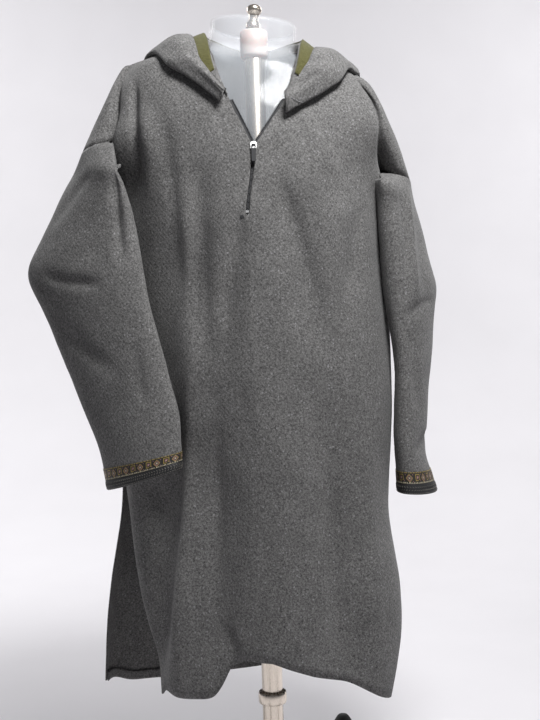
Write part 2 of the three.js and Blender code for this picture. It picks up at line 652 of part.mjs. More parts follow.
function panelGeometry({ body, left, right }, side) {
  const columns = [...left, ...body, ...right];
  const slitColumn = left.length + body.length / 2 - 1;
  const zipRows = YOKE_STEPS.length - 1;
  const keep = side < 0 ? (c, r) => !(c === slitColumn && r < zipRows) : undefined;
  const seamRims = new Set([
    ...left.map((column) => column[LEFT_SEAM_ROW]),
    ...right.map((column) => column[RIGHT_SEAM_ROW]),
  ]);
  const limit = (point, outer) => {
    point.y = side * Math.max(side * point.y, SEAM / 2);
    if (seamRims.has(outer)) point.z = outer.z;
  };
  return clothWall(columns, TWEED, { flip: side > 0, keep, limit });
}
const backWall = panelGeometry(back, 1);
add('front', panelGeometry(front, -1), tweed);
add('back', backWall, tweed);

// ---- sleeves ----

// Columns of a sleeve: its first ring follows the drop shoulder's seam and goes under the arm
// from the front crease to the back one, and the others follow the sleeve's table.
function sleeveColumns(table, { edgeFront, edgeBack, capFront, capBack, seamRow, hand }) {
  const creaseFront = edgeFront[seamRow];
  const creaseBack = edgeBack[seamRow];
  const places = [];
  for (let c = 0; c < CAP_COLUMNS; c += 1) {
    const angle = Math.PI + (SLEEVE_SWEEP * c) / CAP_COLUMNS;
    places.push({ point: capFront[c][seamRow].clone(), angle });
  }
  places[0].point.y = 0;
  const underarmZ = creaseFront.z - UNDERARM.drop;
  const inside = 2 * (Math.PI - SLEEVE_SWEEP);
  for (let c = 0; c <= UNDERARM_COLUMNS; c += 1) {
    const t = c / UNDERARM_COLUMNS;
    const dip = Math.sin(Math.PI * t);
    const out = UNDERARM.outFront + UNDERARM.outBack * t + UNDERARM.outMiddle * dip;
    const point = new THREE.Vector3(
      THREE.MathUtils.lerp(creaseFront.x, creaseBack.x, t) + hand * out,
      THREE.MathUtils.lerp(creaseFront.y, creaseBack.y, t),
      THREE.MathUtils.lerp(creaseFront.z, underarmZ, dip),
    );
    places.push({ point, angle: Math.PI + SLEEVE_SWEEP + inside * t });
  }
  for (let c = CAP_COLUMNS - 1; c > 0; c -= 1) {
    const angle = 3 * Math.PI - (SLEEVE_SWEEP * c) / CAP_COLUMNS;
    places.push({ point: capBack[c][seamRow].clone(), angle });
  }
  const rows = table.map((row, k) => ({ ...row, k }));
  return places.map(({ point, angle }) => {
    point.z -= SLEEVE_SEAM;
    return [point, ...SLEEVE_RINGS.map((k) => sleevePoint(rows, k, angle))];
  });
}

// A point of a sleeve's outer surface, at row k of its table and at an angle round the arm.
function sleevePoint(rows, k, angle) {
  const value = (column) => along(rows, 'k', column, k);
  const cos = Math.cos(angle);
  const sin = Math.sin(angle);
  const t = (1 + cos) / 2;
  return new THREE.Vector3(
    THREE.MathUtils.lerp(value('outX'), value('inX'), t),
    THREE.MathUtils.lerp(value('outY'), value('inY'), t) + value('half') * sin,
    THREE.MathUtils.lerp(value('outZ'), value('inZ'), t),
  );
}

const sleeveLeft = sleeveColumns(SLEEVE_LEFT, {
  edgeFront: front.body[0],
  edgeBack: back.body[0],
  capFront: front.left,
  capBack: back.left,
  seamRow: LEFT_SEAM_ROW,
  hand: -1,
});
const sleeveRight = sleeveColumns(SLEEVE_RIGHT, {
  edgeFront: front.body[front.body.length - 1],
  edgeBack: back.body[back.body.length - 1],
  capFront: [...front.right].reverse(),
  capBack: [...back.right].reverse(),
  seamRow: RIGHT_SEAM_ROW,
  hand: 1,
});

// The wall of a sleeve; its first ring keeps level with the seam.
function sleeveWall(columns, flip) {
  const rim = new Set(columns.map((column) => column[0]));
  const limit = (point, outer) => {
    if (rim.has(outer)) point.z = outer.z;
  };
  return clothWall(columns, TWEED, { wrap: true, flip, limit });
}
const sleeveLeftWall = sleeveWall(sleeveLeft, false);
const sleeveRightWall = sleeveWall(sleeveRight, true);
add('sleeve_left', sleeveLeftWall, tweed);
add('sleeve_right', sleeveRightWall, tweed);

// A band round the cuff, between two rings of the sleeve, moved out from its cloth.
function cuffBand(columns, wall, ring, flip) {
  const lifted = movedOut(columns, wall, TRIM + SEAM);
  const band = lifted.map((column) => BAND_EDGES.map((t) => (
    new THREE.Vector3().lerpVectors(column[ring + 1], column[ring + 2], t)
  )));
  return clothWall(band, TRIM, { wrap: true, flip });
}
add('cuff_gilt_left', cuffBand(sleeveLeft, sleeveLeftWall, GILT_RING, false), gilt);
add('cuff_braid_left', cuffBand(sleeveLeft, sleeveLeftWall, BRAID_RING, false), braid);
add('cuff_gilt_right', cuffBand(sleeveRight, sleeveRightWall, GILT_RING, true), gilt);
add('cuff_braid_right', cuffBand(sleeveRight, sleeveRightWall, BRAID_RING, true), braid);

// ---- turned hem inside the back panel ----

const hemInside = movedOut(back.body, backWall, -TWEED - HEM_GAP).map((column) => {
  const [above, foot] = column.slice(-2);
  const rise = HEM_DEPTH / above.distanceTo(foot);
  return [new THREE.Vector3().lerpVectors(foot, above, rise), foot];
});
add('back_hem', clothWall(hemInside, TWEED, { flip: true }), tweed);

// ---- zip ----

// A point on the zip: z down the front, and w across from its line, behind the cloth by a depth.
function zipPoint(z, w, depth) {
  const zipX = along(BODY, 'z', 'zip', z);
  const x = zipX + w;
  return new THREE.Vector3(x, clothDepth(x, z, w / HALF_FRONT, -1) + depth, z);
}

// The V's edge from the zip's line at a height, on the left (-1) or the right (1).
function openEdge(z, hand) {
  if (z <= ZIP_TOP) return hand * ZIP_GAP;
  const side = NECKLINE.filter(({ x }) => hand * (x - NECK_PIVOT.x) > 0);
  const rising = hand < 0 ? [...side].reverse() : side;
  return straight(rising, 'z', 'x', z) - NECK_PIVOT.x;
}

function tapeColumns(hand) {
  const depth = TWEED + SEAM + TAPE_SLACK;
  const across = [-TAPE_UNDER, 0, 1];
  return across.map((w) => {
    const column = [];
    for (let r = 0; r <= TAPE_ROWS; r += 1) {
      const z = THREE.MathUtils.lerp(TAPE_TOP, TAPE_FOOT, r / TAPE_ROWS);
      const edge = openEdge(z, hand);
      const shown = z > ZIP_TOP ? Math.min(TAPE_SHOWN, Math.abs(edge) - SEAM) : ZIP_GAP - SEAM / 2;
      column.push(zipPoint(z, edge - hand * (w === 1 ? shown : w), depth));
    }
    return column;
  });
}
add('zip_tape_left', clothWall(tapeColumns(-1), TAPE), blackTape);
add('zip_tape_right', clothWall(tapeColumns(1), TAPE, { flip: true }), blackTape);

// The closed chain and the stop under it lie on the tapes, in the slit.
function chainGeometry({ top, foot, half, rows }) {
  const depth = TWEED + TAPE_SLACK - CHAIN_THICK;
  const columns = [-half, half].map((w) => {
    const column = [];
    for (let r = 0; r <= rows; r += 1) {
      column.push(zipPoint(THREE.MathUtils.lerp(top, foot, r / rows), w, depth));
    }
    return column;
  });
  return clothWall(columns, CHAIN_THICK);
}
add('zip_chain', chainGeometry(CHAIN), blackTape);
add('zip_stop', chainGeometry(STOP), silver);

const wasm = await Module();
wasm.setup();

function solid(geometry) {
  const bare = geometry.clone();
  bare.deleteAttribute('normal');
  bare.deleteAttribute('uv');
  const merged = mergeVertices(bare, 1e-4);
  return new wasm.Manifold(new wasm.Mesh({
    numProp: 3,
    vertProperties: new Float32Array(merged.attributes.position.array),
    triVerts: new Uint32Array(merged.index.array),
  }));
}

function toGeometry(manifold) {
  const mesh = manifold.getMesh();
  const geometry = new THREE.BufferGeometry();
  geometry.setAttribute('position', new THREE.BufferAttribute(new Float32Array(mesh.vertProperties), 3));
  geometry.setIndex([...mesh.triVerts]);
  geometry.computeVertexNormals();
  return geometry;
}

function roundedPlate(width, height, corner) {
  const shape = new THREE.Shape();
  const [w, h] = [width / 2, height / 2];
  shape.moveTo(-w + corner, -h);
  shape.lineTo(w - corner, -h);
  shape.absarc(w - corner, -h + corner, corner, -Math.PI / 2, 0);
  shape.lineTo(w, h - corner);
  shape.absarc(w - corner, h - corner, corner, 0, Math.PI / 2);
  shape.lineTo(-w + corner, h);
  shape.absarc(-w + corner, h - corner, corner, Math.PI / 2, Math.PI);
  shape.lineTo(-w, -h + corner);
  shape.absarc(-w + corner, -h + corner, corner, Math.PI, 1.5 * Math.PI);
  return shape;
}

// The slider lies on the cloth at the foot of the open V, tilted with the chest.
const sliderGroup = new THREE.Group();
const sliderSeat = zipPoint(SLIDER_Z, 0, 0);
const chestBelow = zipPoint(SLIDER_Z - PULL.length, 0, 0);
sliderGroup.position.set(sliderSeat.x, sliderSeat.y - SLIDER.lift, SLIDER_Z);
sliderGroup.rotation.x = -Math.atan2(sliderSeat.y - chestBelow.y, PULL.length) - SLIDER.extraTilt;
model.add(sliderGroup);

// Shapes drawn in x and z, extruded forwards (-Y) from a depth.
function forwards(shape, thickness, from) {
  const options = { depth: thickness, bevelEnabled: false, curveSegments: 4 };
  const geometry = new THREE.ExtrudeGeometry(shape, options);
  geometry.rotateX(Math.PI / 2);
  geometry.translate(0, -from, 0);
  return geometry;
}

function sliderGeometry() {
  const plate = forwards(roundedPlate(SLIDER.width, SLIDER.height, SLIDER.corner), SLIDER.thick, 0);
  const arch = new THREE.Shape();
  arch.moveTo(-BRIDGE.half, 0);
  arch.absellipse(0, 0, BRIDGE.half, BRIDGE.out, Math.PI, 0, true);
  arch.lineTo(BRIDGE.half - BRIDGE.wire, 0);
  arch.absellipse(0, 0, BRIDGE.half - BRIDGE.wire, BRIDGE.out - BRIDGE.wire, 0, Math.PI, false);
  const options = { depth: BRIDGE.width, bevelEnabled: false, curveSegments: 8 };
  const bridge = new THREE.ExtrudeGeometry(arch, options);
  bridge.translate(0, 0, -BRIDGE.width / 2);
  bridge.rotateY(Math.PI / 2);
  bridge.rotateX(Math.PI / 2);
  bridge.translate(0, -SLIDER.thick + BRIDGE.sunk, PIVOT_UP);
  return toGeometry(solid(plate).add(solid(bridge)));
}
add('zip_slider', sliderGeometry(), silver, sliderGroup);

// The pull hangs from a crossbar through the bridge; its origin is the hinge.
function pullGeometry() {
  const shape = roundedPlate(PULL.width, PULL.length, PULL.corner);
  const window = new THREE.Path();
  const top = PULL.length / 2 - PULL.bar;
  const foot = top - PULL.window;
  const half = PULL.width / 2 - PULL.arm;
  window.moveTo(-half, foot);
  window.lineTo(-half, top);
  window.lineTo(half, top);
  window.lineTo(half, foot);
  shape.holes.push(window);
  const geometry = forwards(shape, PULL.thick, -PULL.thick / 2);
  geometry.translate(0, 0, -PULL.length / 2 + PULL.bar / 2);
  return geometry;
}
const pull = add('zip_pull', pullGeometry(), blackTape, sliderGroup);
pull.position.set(0, -SLIDER.thick - BRIDGE.eye, PIVOT_UP);

// ---- hood ----

function hoodColumns(table, seated) {
  const spot = (name, k) => {
    const rows = table.map((row, n) => ({ n, x: row[name][0], y: row[name][1], z: row[name][2] }));
    return new THREE.Vector3(along(rows, 'n', 'x', k), along(rows, 'n', 'y', k), along(rows, 'n', 'z', k));
  };
  const columns = [];
  for (let c = 0; c < HOOD_COLUMNS; c += 1) {
    const share = c / (HOOD_COLUMNS - 1);
    const k = share * (table.length - 1);
    const [seam, roll, fold, edge] = ['seam', 'roll', 'fold', 'edge'].map((name) => spot(name, k));
    clearOfBody(roll, HOOD_CLEAR);
    clearOfBody(fold, 2 * HOOD_CLEAR);
    clearOfBody(edge, 3 * HOOD_CLEAR);
    const full = Math.min(1, HOOD_FULL_FRONT + HOOD_FULL_GAIN * share);
    const inwards = new THREE.Vector3().addVectors(roll, edge).multiplyScalar(0.5).sub(fold).normalize();
    const tip = THREE.MathUtils.lerp(HOOD_FACING.front, HOOD_FACING.nape, share);
    const apart = new THREE.Vector3(0, Math.sin(tip), Math.cos(tip));
    apart.addScaledVector(inwards, -inwards.dot(apart)).normalize();
    const turn = HOOD_TURN * full;
    const apartTurn = turn * HOOD_TURN_FLAT;
    const foldUnder = fold.clone().addScaledVector(inwards, turn).addScaledVector(apart, -apartTurn);
    const foldOver = fold.clone().addScaledVector(inwards, turn).addScaledVector(apart, apartTurn);
    const under = new THREE.Vector3().lerpVectors(roll, foldUnder, 0.5);
    const over = new THREE.Vector3().lerpVectors(foldOver, edge, 0.5);
    over.addScaledVector(apart, HOOD_CROWN * full);
    const curve = new THREE.CatmullRomCurve3([seam, roll, under, foldUnder, fold, foldOver, over, edge]);
    const behind = THREE.MathUtils.smoothstep(share, HOOD_BEHIND.from, HOOD_BEHIND.to);
    const clear = THREE.MathUtils.lerp(HOOD_CLEAR, HOOD_CLEAR_BACK, behind);
    const last = HOOD_STEPS[HOOD_STEPS.length - 1];
    columns.push(HOOD_STEPS.map((step) => (
      clearOfBody(curve.getPoint(step / last), step === 0 ? seated : clear)
    )));
  }
  return columns;
}
const hoodLeft = hoodColumns(HOOD_LEFT, HOOD_SEATED.left);
const hoodRight = hoodColumns(HOOD_RIGHT, HOOD_SEATED.right);

// Keeps each half of the hood on its own side of the centre seam.
const ownHalf = (hand) => (point) => {
  point.x = NECK_PIVOT.x + hand * Math.max(SEAM, hand * (point.x - NECK_PIVOT.x));
};
const hoodLeftWall = clothWall(hoodLeft, TWEED, { limit: ownHalf(-1) });
const hoodRightWall = clothWall(hoodRight, TWEED, { flip: true, limit: ownHalf(1) });
add('hood_left', hoodLeftWall, tweed);
add('hood_right', hoodRightWall, tweed);

function liningGeometry(columns, wall, hand) {
  const inside = movedOut(columns, wall, -TWEED - LINING_GAP).slice(LINING_START);
  const shown = inside.map((column) => column.slice(...LINING_ROWS));
  shown.flat().forEach(ownHalf(hand));
  return clothWall(shown, FLEECE, { flip: hand > 0, limit: ownHalf(hand) });
}
add('hood_lining_left', liningGeometry(hoodLeft, hoodLeftWall, -1), fleece);
add('hood_lining_right', liningGeometry(hoodRight, hoodRightWall, 1), fleece);

// ---- form, bush and stand ----

const leaning = new THREE.Group();
leaning.position.set(NECK_PIVOT.x, 0, NECK_PIVOT.z);
leaning.rotation.y = LEAN;
model.add(leaning);

// A point of a torso ring, at an angle and inset from its outline.
function ringPoint(ring, side, inset = 0) {
  const angle = (2 * Math.PI * side) / TORSO_SIDES;
  const [cos, sin] = [Math.cos(angle), Math.sin(angle)];
  const power = 2 / TORSO_ROUND;
  const depth = sin < 0 ? ring.front : ring.back;
  return new THREE.Vector3(
    (ring.half - inset) * Math.sign(cos) * Math.pow(Math.abs(cos), power),
    (depth - inset) * Math.sign(sin) * Math.pow(Math.abs(sin), power),
    ring.z - NECK_PIVOT.z,
  );
}
const torsoSides = Array.from({ length: TORSO_SIDES }, (unused, side) => side);
const torsoColumns = torsoSides.map((side) => [...TORSO].reverse().map((ring) => ringPoint(ring, side)));
add('form', clothWall(torsoColumns, TORSO_WALL, { wrap: true }), clearPlastic, leaning);

// The plate that closes the form's neck, and the knob on it.
const neckTop = TORSO[TORSO.length - 1];
const plateOutline = torsoSides.map((side) => {
  const { x, y } = ringPoint(neckTop, side, TORSO_WALL + PLATE_GAP);
  return new THREE.Vector2(x, y);
});
const plateGeometry = new THREE.ExtrudeGeometry(new THREE.Shape(plateOutline), {
  depth: PLATE_THICK,
  bevelEnabled: false,
});
const plate = add('neck_plate', plateGeometry, clearPlastic, leaning);
plate.position.z = PLATE_Z - NECK_PIVOT.z;

// A turned piece: a profile of radius and height about the vertical axis.
function turned(profile, sides) {
  const points = profile.map(([r, z]) => new THREE.Vector2(r, z));
  return new THREE.LatheGeometry(points, sides).rotateX(Math.PI / 2);
}
const knob = add('neck_knob', turned(KNOB, 16), chrome, leaning);
knob.position.z = PLATE_Z + PLATE_THICK + SEAM - NECK_PIVOT.z;

add('neck_bush', turned(BUSH, 20), pinkPlastic);
add('pole', turned(POLE, 24), chrome);
add('pole_collar', turned(COLLAR, 24), chrome);
add('base_hub', turned(HUB, 24), chrome);
for (const [place, degrees] of Object.entries(LEG_ANGLES)) {
  const arm = new THREE.Group();
  arm.rotation.z = THREE.MathUtils.degToRad(degrees);
  model.add(arm);
  const start = HUB_R + SEAM;
  const end = FOOT_REACH - FOOT.atLeg - SEAM;
  const tube = new THREE.CylinderGeometry(LEG_R, LEG_R, end - start, LEG_SIDES).rotateZ(Math.PI / 2);
  const leg = add(`leg_${place}`, tube, chrome, arm);
  leg.position.set((start + end) / 2, 0, LEG_Z);
  const foot = add(`foot_${place}`, turned(FOOT.profile, 16), rubber, arm);
  foot.position.x = FOOT_REACH;
}

export default model;
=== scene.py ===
"""A hooded grey tweed pheran on a clear limbless torso form with a chrome pole stand.

Blender 4.5. Metres, +Z up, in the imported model's own frame: the garment's front faces -Y and the
origin is on the floor under the pole. "Left" and "right" are a viewer's, facing the front.
"""

import math

import bmesh
import bpy
import numpy as np
from mathutils import Matrix, Vector, noise
from mathutils.bvhtree import BVHTree


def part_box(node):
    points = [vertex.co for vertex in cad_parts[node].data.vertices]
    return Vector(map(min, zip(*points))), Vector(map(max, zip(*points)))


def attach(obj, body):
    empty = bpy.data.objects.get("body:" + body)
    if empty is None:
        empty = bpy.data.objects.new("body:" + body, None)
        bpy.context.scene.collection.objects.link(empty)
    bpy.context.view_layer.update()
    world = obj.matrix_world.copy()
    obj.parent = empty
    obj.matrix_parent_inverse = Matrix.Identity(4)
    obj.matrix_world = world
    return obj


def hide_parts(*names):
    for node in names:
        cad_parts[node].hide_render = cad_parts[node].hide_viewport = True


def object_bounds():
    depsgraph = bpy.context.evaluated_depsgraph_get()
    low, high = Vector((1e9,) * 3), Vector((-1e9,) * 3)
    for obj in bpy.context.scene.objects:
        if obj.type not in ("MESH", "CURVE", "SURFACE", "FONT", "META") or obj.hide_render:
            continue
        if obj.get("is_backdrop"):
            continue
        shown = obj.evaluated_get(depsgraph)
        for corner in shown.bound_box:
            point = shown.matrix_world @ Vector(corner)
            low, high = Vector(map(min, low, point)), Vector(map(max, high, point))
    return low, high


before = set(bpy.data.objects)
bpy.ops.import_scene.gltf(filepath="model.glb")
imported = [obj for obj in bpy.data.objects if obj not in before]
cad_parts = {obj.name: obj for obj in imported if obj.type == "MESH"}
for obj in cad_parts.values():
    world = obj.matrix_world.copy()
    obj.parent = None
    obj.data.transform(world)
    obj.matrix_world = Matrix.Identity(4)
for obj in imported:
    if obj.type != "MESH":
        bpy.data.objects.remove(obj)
cad_box = [list(corner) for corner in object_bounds()]


# ---- Camera, backdrop and light ----
# A camera at waist height, level but held a little crooked, before a white paper sweep. A soft
# lamp stands high in front, with weaker ones to the side, behind, and on the paper and the floor.

MM = 0.001
scene = bpy.context.scene
scene.view_settings.view_transform = "Standard"

CAMERA_PLACE = Vector((0.0112, -1.600, 0.715))
CAMERA_ROLL = math.radians(1.65)
turned = Matrix.Rotation(CAMERA_ROLL, 4, "Y") @ Matrix.Rotation(math.radians(90), 4, "X")
lens = bpy.data.cameras.new("camera")
lens.sensor_width = 36
lens.lens = 50
lens.clip_end = 30
camera = bpy.data.objects.new("camera", lens)
camera.matrix_world = Matrix.Translation(CAMERA_PLACE) @ turned
scene.collection.objects.link(camera)
scene.camera = camera


def linear(hex_colour):
    """An sRGB hex colour as linear red, green, blue and alpha."""
    channels = [int(hex_colour[i : i + 2], 16) / 255 for i in (1, 3, 5)]
    return tuple(c / 12.92 if c <= 0.04045 else ((c + 0.055) / 1.055) ** 2.4 for c in channels) + (1.0,)


def add_node(tree, kind, inputs=None, **settings):
    """Adds a node with its settings; an input given as a socket, or as a node, is linked to it."""
    node = tree.nodes.new(kind)
    for name, value in settings.items():
        setattr(node, name, value)
    for key, value in (inputs or {}).items():
        if isinstance(value, bpy.types.Node):
            value = value.outputs[0]
        if isinstance(value, bpy.types.NodeSocket):
            tree.links.new(value, node.inputs[key])
        else:
            node.inputs[key].default_value = value
    return node


def new_material(name):
    """A material with an empty tree, and the object coordinates its pattern lies in."""
    material = bpy.data.materials.new(name)
    material.use_nodes = True
    tree = material.node_tree
    tree.nodes.clear()
    return material, tree, add_node(tree, "ShaderNodeTexCoord").outputs["Object"]


def linked(name, data):
    """An object of that mesh or lamp in the scene, at the origin."""
    piece = bpy.data.objects.new(name, data)
    scene.collection.objects.link(piece)
    return piece


def put_in_scene(mesh, name, material):
    """An object of that mesh, all of one material."""
    mesh.materials.clear()
    mesh.materials.append(material)
    return linked(name, mesh)


def mesh_of(name, points, faces, edges=()):
    """A mesh with its faces turned outward."""
    mesh = bpy.data.meshes.new(name)
    mesh.from_pydata(points, edges, faces)
    work = bmesh.new()
    work.from_mesh(mesh)
    bmesh.ops.recalc_face_normals(work, faces=work.faces)
    work.to_mesh(mesh)
    work.free()
    return mesh


paper, tree, place = new_material("white_seamless_paper")
# Uncoated matt paper, with clouds of tint about 0.3 m across.
fibres = add_node(tree, "ShaderNodeTexNoise", {"Vector": place, "Scale": 1 / 0.3})
tints = {0: fibres, 6: linear("#dcdadd"), 7: linear("#e3e1e4")}
colour = add_node(tree, "ShaderNodeMix", tints, data_type="RGBA").outputs[2]
shader = add_node(tree, "ShaderNodeBsdfPrincipled", {"Base Color": colour, "Roughness": 0.9})
add_node(tree, "ShaderNodeOutputMaterial", {"Surface": shader})

SWEEP = {"half": 9.0, "near": -5.0, "wall": 3.8, "top": 6.0, "round": 2.2, "steps": 16}
profile = [(SWEEP["near"], 0.0)]
for k in range(SWEEP["steps"] + 1):
    turn = math.radians(90 * k / SWEEP["steps"])
    y = SWEEP["wall"] - SWEEP["round"] * (1 - math.sin(turn))
    profile.append((y, SWEEP["round"] * (1 - math.cos(turn))))
profile.append((SWEEP["wall"], SWEEP["top"]))
points = [(x, y, z) for y, z in profile for x in (-SWEEP["half"], SWEEP["half"])]
strips = [(2 * k, 2 * k + 1, 2 * k + 3, 2 * k + 2) for k in range(len(profile) - 1)]
sweep = bpy.data.meshes.new("paper_sweep")
sweep.from_pydata(points, [], strips)
sweep.shade_smooth()
put_in_scene(sweep, "paper_sweep", paper)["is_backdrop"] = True

world = bpy.data.worlds.new("soft_room")
scene.world = world
world.use_nodes = True
world.node_tree.nodes["Background"].inputs["Color"].default_value = linear("#eef0f6")
world.node_tree.nodes["Background"].inputs["Strength"].default_value = 0.16

LAMPS = [
    {"name": "high_front", "place": (0.36, -0.75, 2.1), "aim": (0.0, 0.0, 1.0), "size": 0.5, "power": 39},
    {"name": "right_side", "place": (2.4, -1.2, 1.5), "aim": (0.0, 0.0, 1.0), "size": 0.8, "power": 5},
    {"name": "paper_left", "place": (-2.4, 1.6, 2.5), "aim": (-0.8, 3.6, 1.2), "size": 1.4, "power": 50},
    {"name": "paper_right", "place": (2.4, 1.6, 2.5), "aim": (0.8, 3.6, 1.4), "size": 1.4, "power": 52},
    {"name": "floor_left", "place": (-1.7, 1.3, 1.5), "aim": (-0.8, 1.0, 0.0), "size": 0.8, "power": 9},
    {"name": "behind", "place": (0.7, 2.4, 2.3), "aim": (0.0, 0.0, 0.8), "size": 1.0, "power": 12},
]
for row in LAMPS:
    light = bpy.data.lights.new(row["name"], "AREA")
    light.shape = "DISK"
    light.size = row["size"]
    light.energy = row["power"]
    lamp = linked(row["name"], light)
    lamp.location = row["place"]
    beam = Vector(row["aim"]) - Vector(row["place"])
    lamp.rotation_euler = beam.to_track_quat("-Z", "Y").to_euler()


# ---- Torso form ----
# A shop's display torso, vacuum formed in clear styrene about 3 mm thick, with no limbs. Its wall
# is a smooth skin through the rings of the frame's own form.


def by_smoothness(work, smooth):
    """The mesh's faces in groups, joined across every edge that is smoother than the limit."""
    groups, left = [], set(work.faces)
    while left:
        group, waiting = set(), [left.pop()]
        while waiting:
            face = waiting.pop()
            group.add(face)
            near = {other for edge in face.edges for other in edge.link_faces if other in left}
            for other in near:
                if other.normal.dot(face.normal) > smooth:
                    left.discard(other)
                    waiting.append(other)
        groups.append(group)
    return groups


def two_sides(areas, facing, touching):
    """Each group's side of the wall, 0 or 1, spread out from the largest group.

    Groups that face each other through the wall are on different sides. One that faces none takes
    the side of the groups that it touches along the greatest length.
    """
    side = {}
    start = {max(range(len(areas)), key=lambda k: areas[k]): 0}
    while start:
        side.update(start)
        waiting = list(start)
        while waiting:
            waiting.sort(key=lambda k: areas[k])
            k = waiting.pop()
            for other in sorted(facing.get(k, {}), key=lambda o: -facing[k][o]):
                if other not in side:
                    side[other] = 1 - side[k]
                    waiting.append(other)
        pulls = {}
        for (a, b), length in touching.items():
            for new, known in ((a, b), (b, a)):
                if new not in side and known in side:
                    pulls[new] = pulls.get(new, 0) + (length if side[known] else -length)
        strongest = max(pulls, key=lambda k: abs(pulls[k]), default=None)
        start = {} if strongest is None else {strongest: int(pulls[strongest] > 0)}
    return side


WELD = 0.02 * MM
SLIVER = 0.01 * MM
UNDER_FACE = 0.05 * MM
FACING_BACK = -0.5
SMOOTH_EDGE = 0.5


def outer_layer(node, reach):
    """The outer face of one of the frame's walls, as an open mesh of quads.

    A face of the rim has no opposite face within reach behind it. The other faces are grouped by
    smoothness, and the groups are sorted into the wall's two sides.
    """
    work = bmesh.new()
    work.from_mesh(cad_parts[node].data)
    bmesh.ops.remove_doubles(work, verts=work.verts[:], dist=WELD)
    bmesh.ops.dissolve_degenerate(work, edges=work.edges[:], dist=SLIVER)
    work.faces.ensure_lookup_table()
    work.faces.index_update()
    solid = BVHTree.FromBMesh(work)
    rim, opposite = [], {}
    for face in work.faces:
        start = face.calc_center_median() - face.normal * UNDER_FACE
        hit, normal, index, _ = solid.ray_cast(start, -face.normal, reach)
        if hit is None or normal.dot(face.normal) > FACING_BACK:
            rim.append(face)
        else:
            opposite[face] = work.faces[index]
    bmesh.ops.delete(work, geom=rim, context="FACES_ONLY")
    groups = by_smoothness(work, SMOOTH_EDGE)
    areas = [sum(face.calc_area() for face in group) for group in groups]
    group_of = {face: k for k, group in enumerate(groups) for face in group}
    facing, touching = {}, {}
    for face, other in opposite.items():
        if other.is_valid and other in group_of:
            pair = (group_of[face], group_of[other])
            for a, b in (pair, pair[::-1]):
                facing.setdefault(a, {}).setdefault(b, 0)
                facing[a][b] += face.calc_area()
    for edge in work.edges:
        beside = {group_of[face] for face in edge.link_faces}
        if len(beside) == 2:
            pair = tuple(sorted(beside))
            touching[pair] = touching.get(pair, 0) + edge.calc_length()
    side = two_sides(areas, facing, touching)
    sums = [sum(areas[k] for k in side if side[k] == s) for s in (0, 1)]
    outer = sums.index(max(sums))
    inner = [face for k, group in enumerate(groups) if side.get(k, 1 - outer) != outer for face in group]
    bmesh.ops.delete(work, geom=inner, context="FACES")
    loose = [vertex for vertex in work.verts if not vertex.link_faces]
    bmesh.ops.delete(work, geom=loose, context="VERTS")
    any_angle = {"angle_face_threshold": math.pi, "angle_shape_threshold": math.pi}
    bmesh.ops.join_triangles(work, faces=work.faces[:], **any_angle)
    mesh = bpy.data.meshes.new(node)
    work.to_mesh(mesh)
    work.free()
    return mesh


def mesh_after(holder):
    """The object's mesh after its modifiers; the object itself is removed."""
    evaluated = holder.evaluated_get(bpy.context.evaluated_depsgraph_get())
    mesh = bpy.data.meshes.new_from_object(evaluated)
    bpy.data.objects.remove(holder)
    return mesh


def with_modifier(mesh, kind, **settings):
    """The mesh after one modifier."""
    holder = linked("holder", mesh)
    modifier = holder.modifiers.new(kind, kind)
    for name, value in settings.items():
        setattr(modifier, name, value)
    return mesh_after(holder)


def places_of(mesh):
    """The mesh's points as rows of x, y and z."""
    flat = np.empty(len(mesh.vertices) * 3)
    mesh.vertices.foreach_get("co", flat)
    return flat.reshape(-1, 3)


def place_points(mesh, points):
    """Moves the mesh's points to those rows."""
    mesh.vertices.foreach_set("co", points.ravel())
    mesh.update()


CAGE_PASSES = 2


def smoother(mesh, levels):
    """A smooth surface through the mesh's own points, its open edges kept."""
    settings = {"levels": levels, "render_levels": levels, "boundary_smooth": "PRESERVE_CORNERS"}
    goal = places_of(mesh)
    cage = goal.copy()
    for _ in range(CAGE_PASSES):
        passed = places_of(with_modifier(mesh, "SUBSURF", **settings))[: len(goal)]
        cage += goal - passed
        place_points(mesh, cage)
    return with_modifier(mesh, "SUBSURF", **settings)


def thick(mesh, thickness):
    """The layer as a closed wall, thickened inwards."""
    wall = with_modifier(mesh, "SOLIDIFY", thickness=thickness, offset=-1)
    wall.shade_smooth()
    return wall


def dressed(piece, slot, *nodes):
    """Hides the frame's nodes that the piece stands for and attaches the piece to the garment body. The slot
    is not used.
    """
    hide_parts(*nodes)
    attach(piece, "garment")
    return piece


clear_styrene, tree, place = new_material("clear_styrene")
# Clear sheet, glossy, with the faint milky haze and shallow ripples of vacuum forming. The
# ripples are about 50 mm and the haze 120 mm across.
ripples = add_node(tree, "ShaderNodeTexNoise", {"Vector": place, "Scale": 1 / 0.05, "Detail": 1})
haze = add_node(tree, "ShaderNodeTexNoise", {"Vector": place, "Scale": 1 / 0.12})
tints = {0: haze, 6: linear("#dde5ee"), 7: linear("#f4f5f7")}
gloss = {
    "Base Color": add_node(tree, "ShaderNodeMix", tints, data_type="RGBA").outputs[2],
    "Roughness": 0.1,
    "IOR": 1.5,
    "Alpha": 0.12,
    "Normal": add_node(tree, "ShaderNodeBump", {"Height": ripples, "Distance": 0.6 * MM, "Strength": 0.25}),
}
shader = add_node(tree, "ShaderNodeBsdfPrincipled", gloss)
add_node(tree, "ShaderNodeOutputMaterial", {"Surface": shader})

FORM_THICK = 3 * MM
FORM_REACH = 6 * MM
form_wall = thick(smoother(outer_layer("form", FORM_REACH), 2), FORM_THICK)
dressed(put_in_scene(form_wall, "torso_form", clear_styrene), "clear_plastic", "form")


# ---- Neck plate, bush and knob ----
# A flat clear plate closes the neck. Under it a pinkish translucent bush slips over the pole, and
# on it a turned chrome knob lifts the form off. Plate and knob lean with the form.


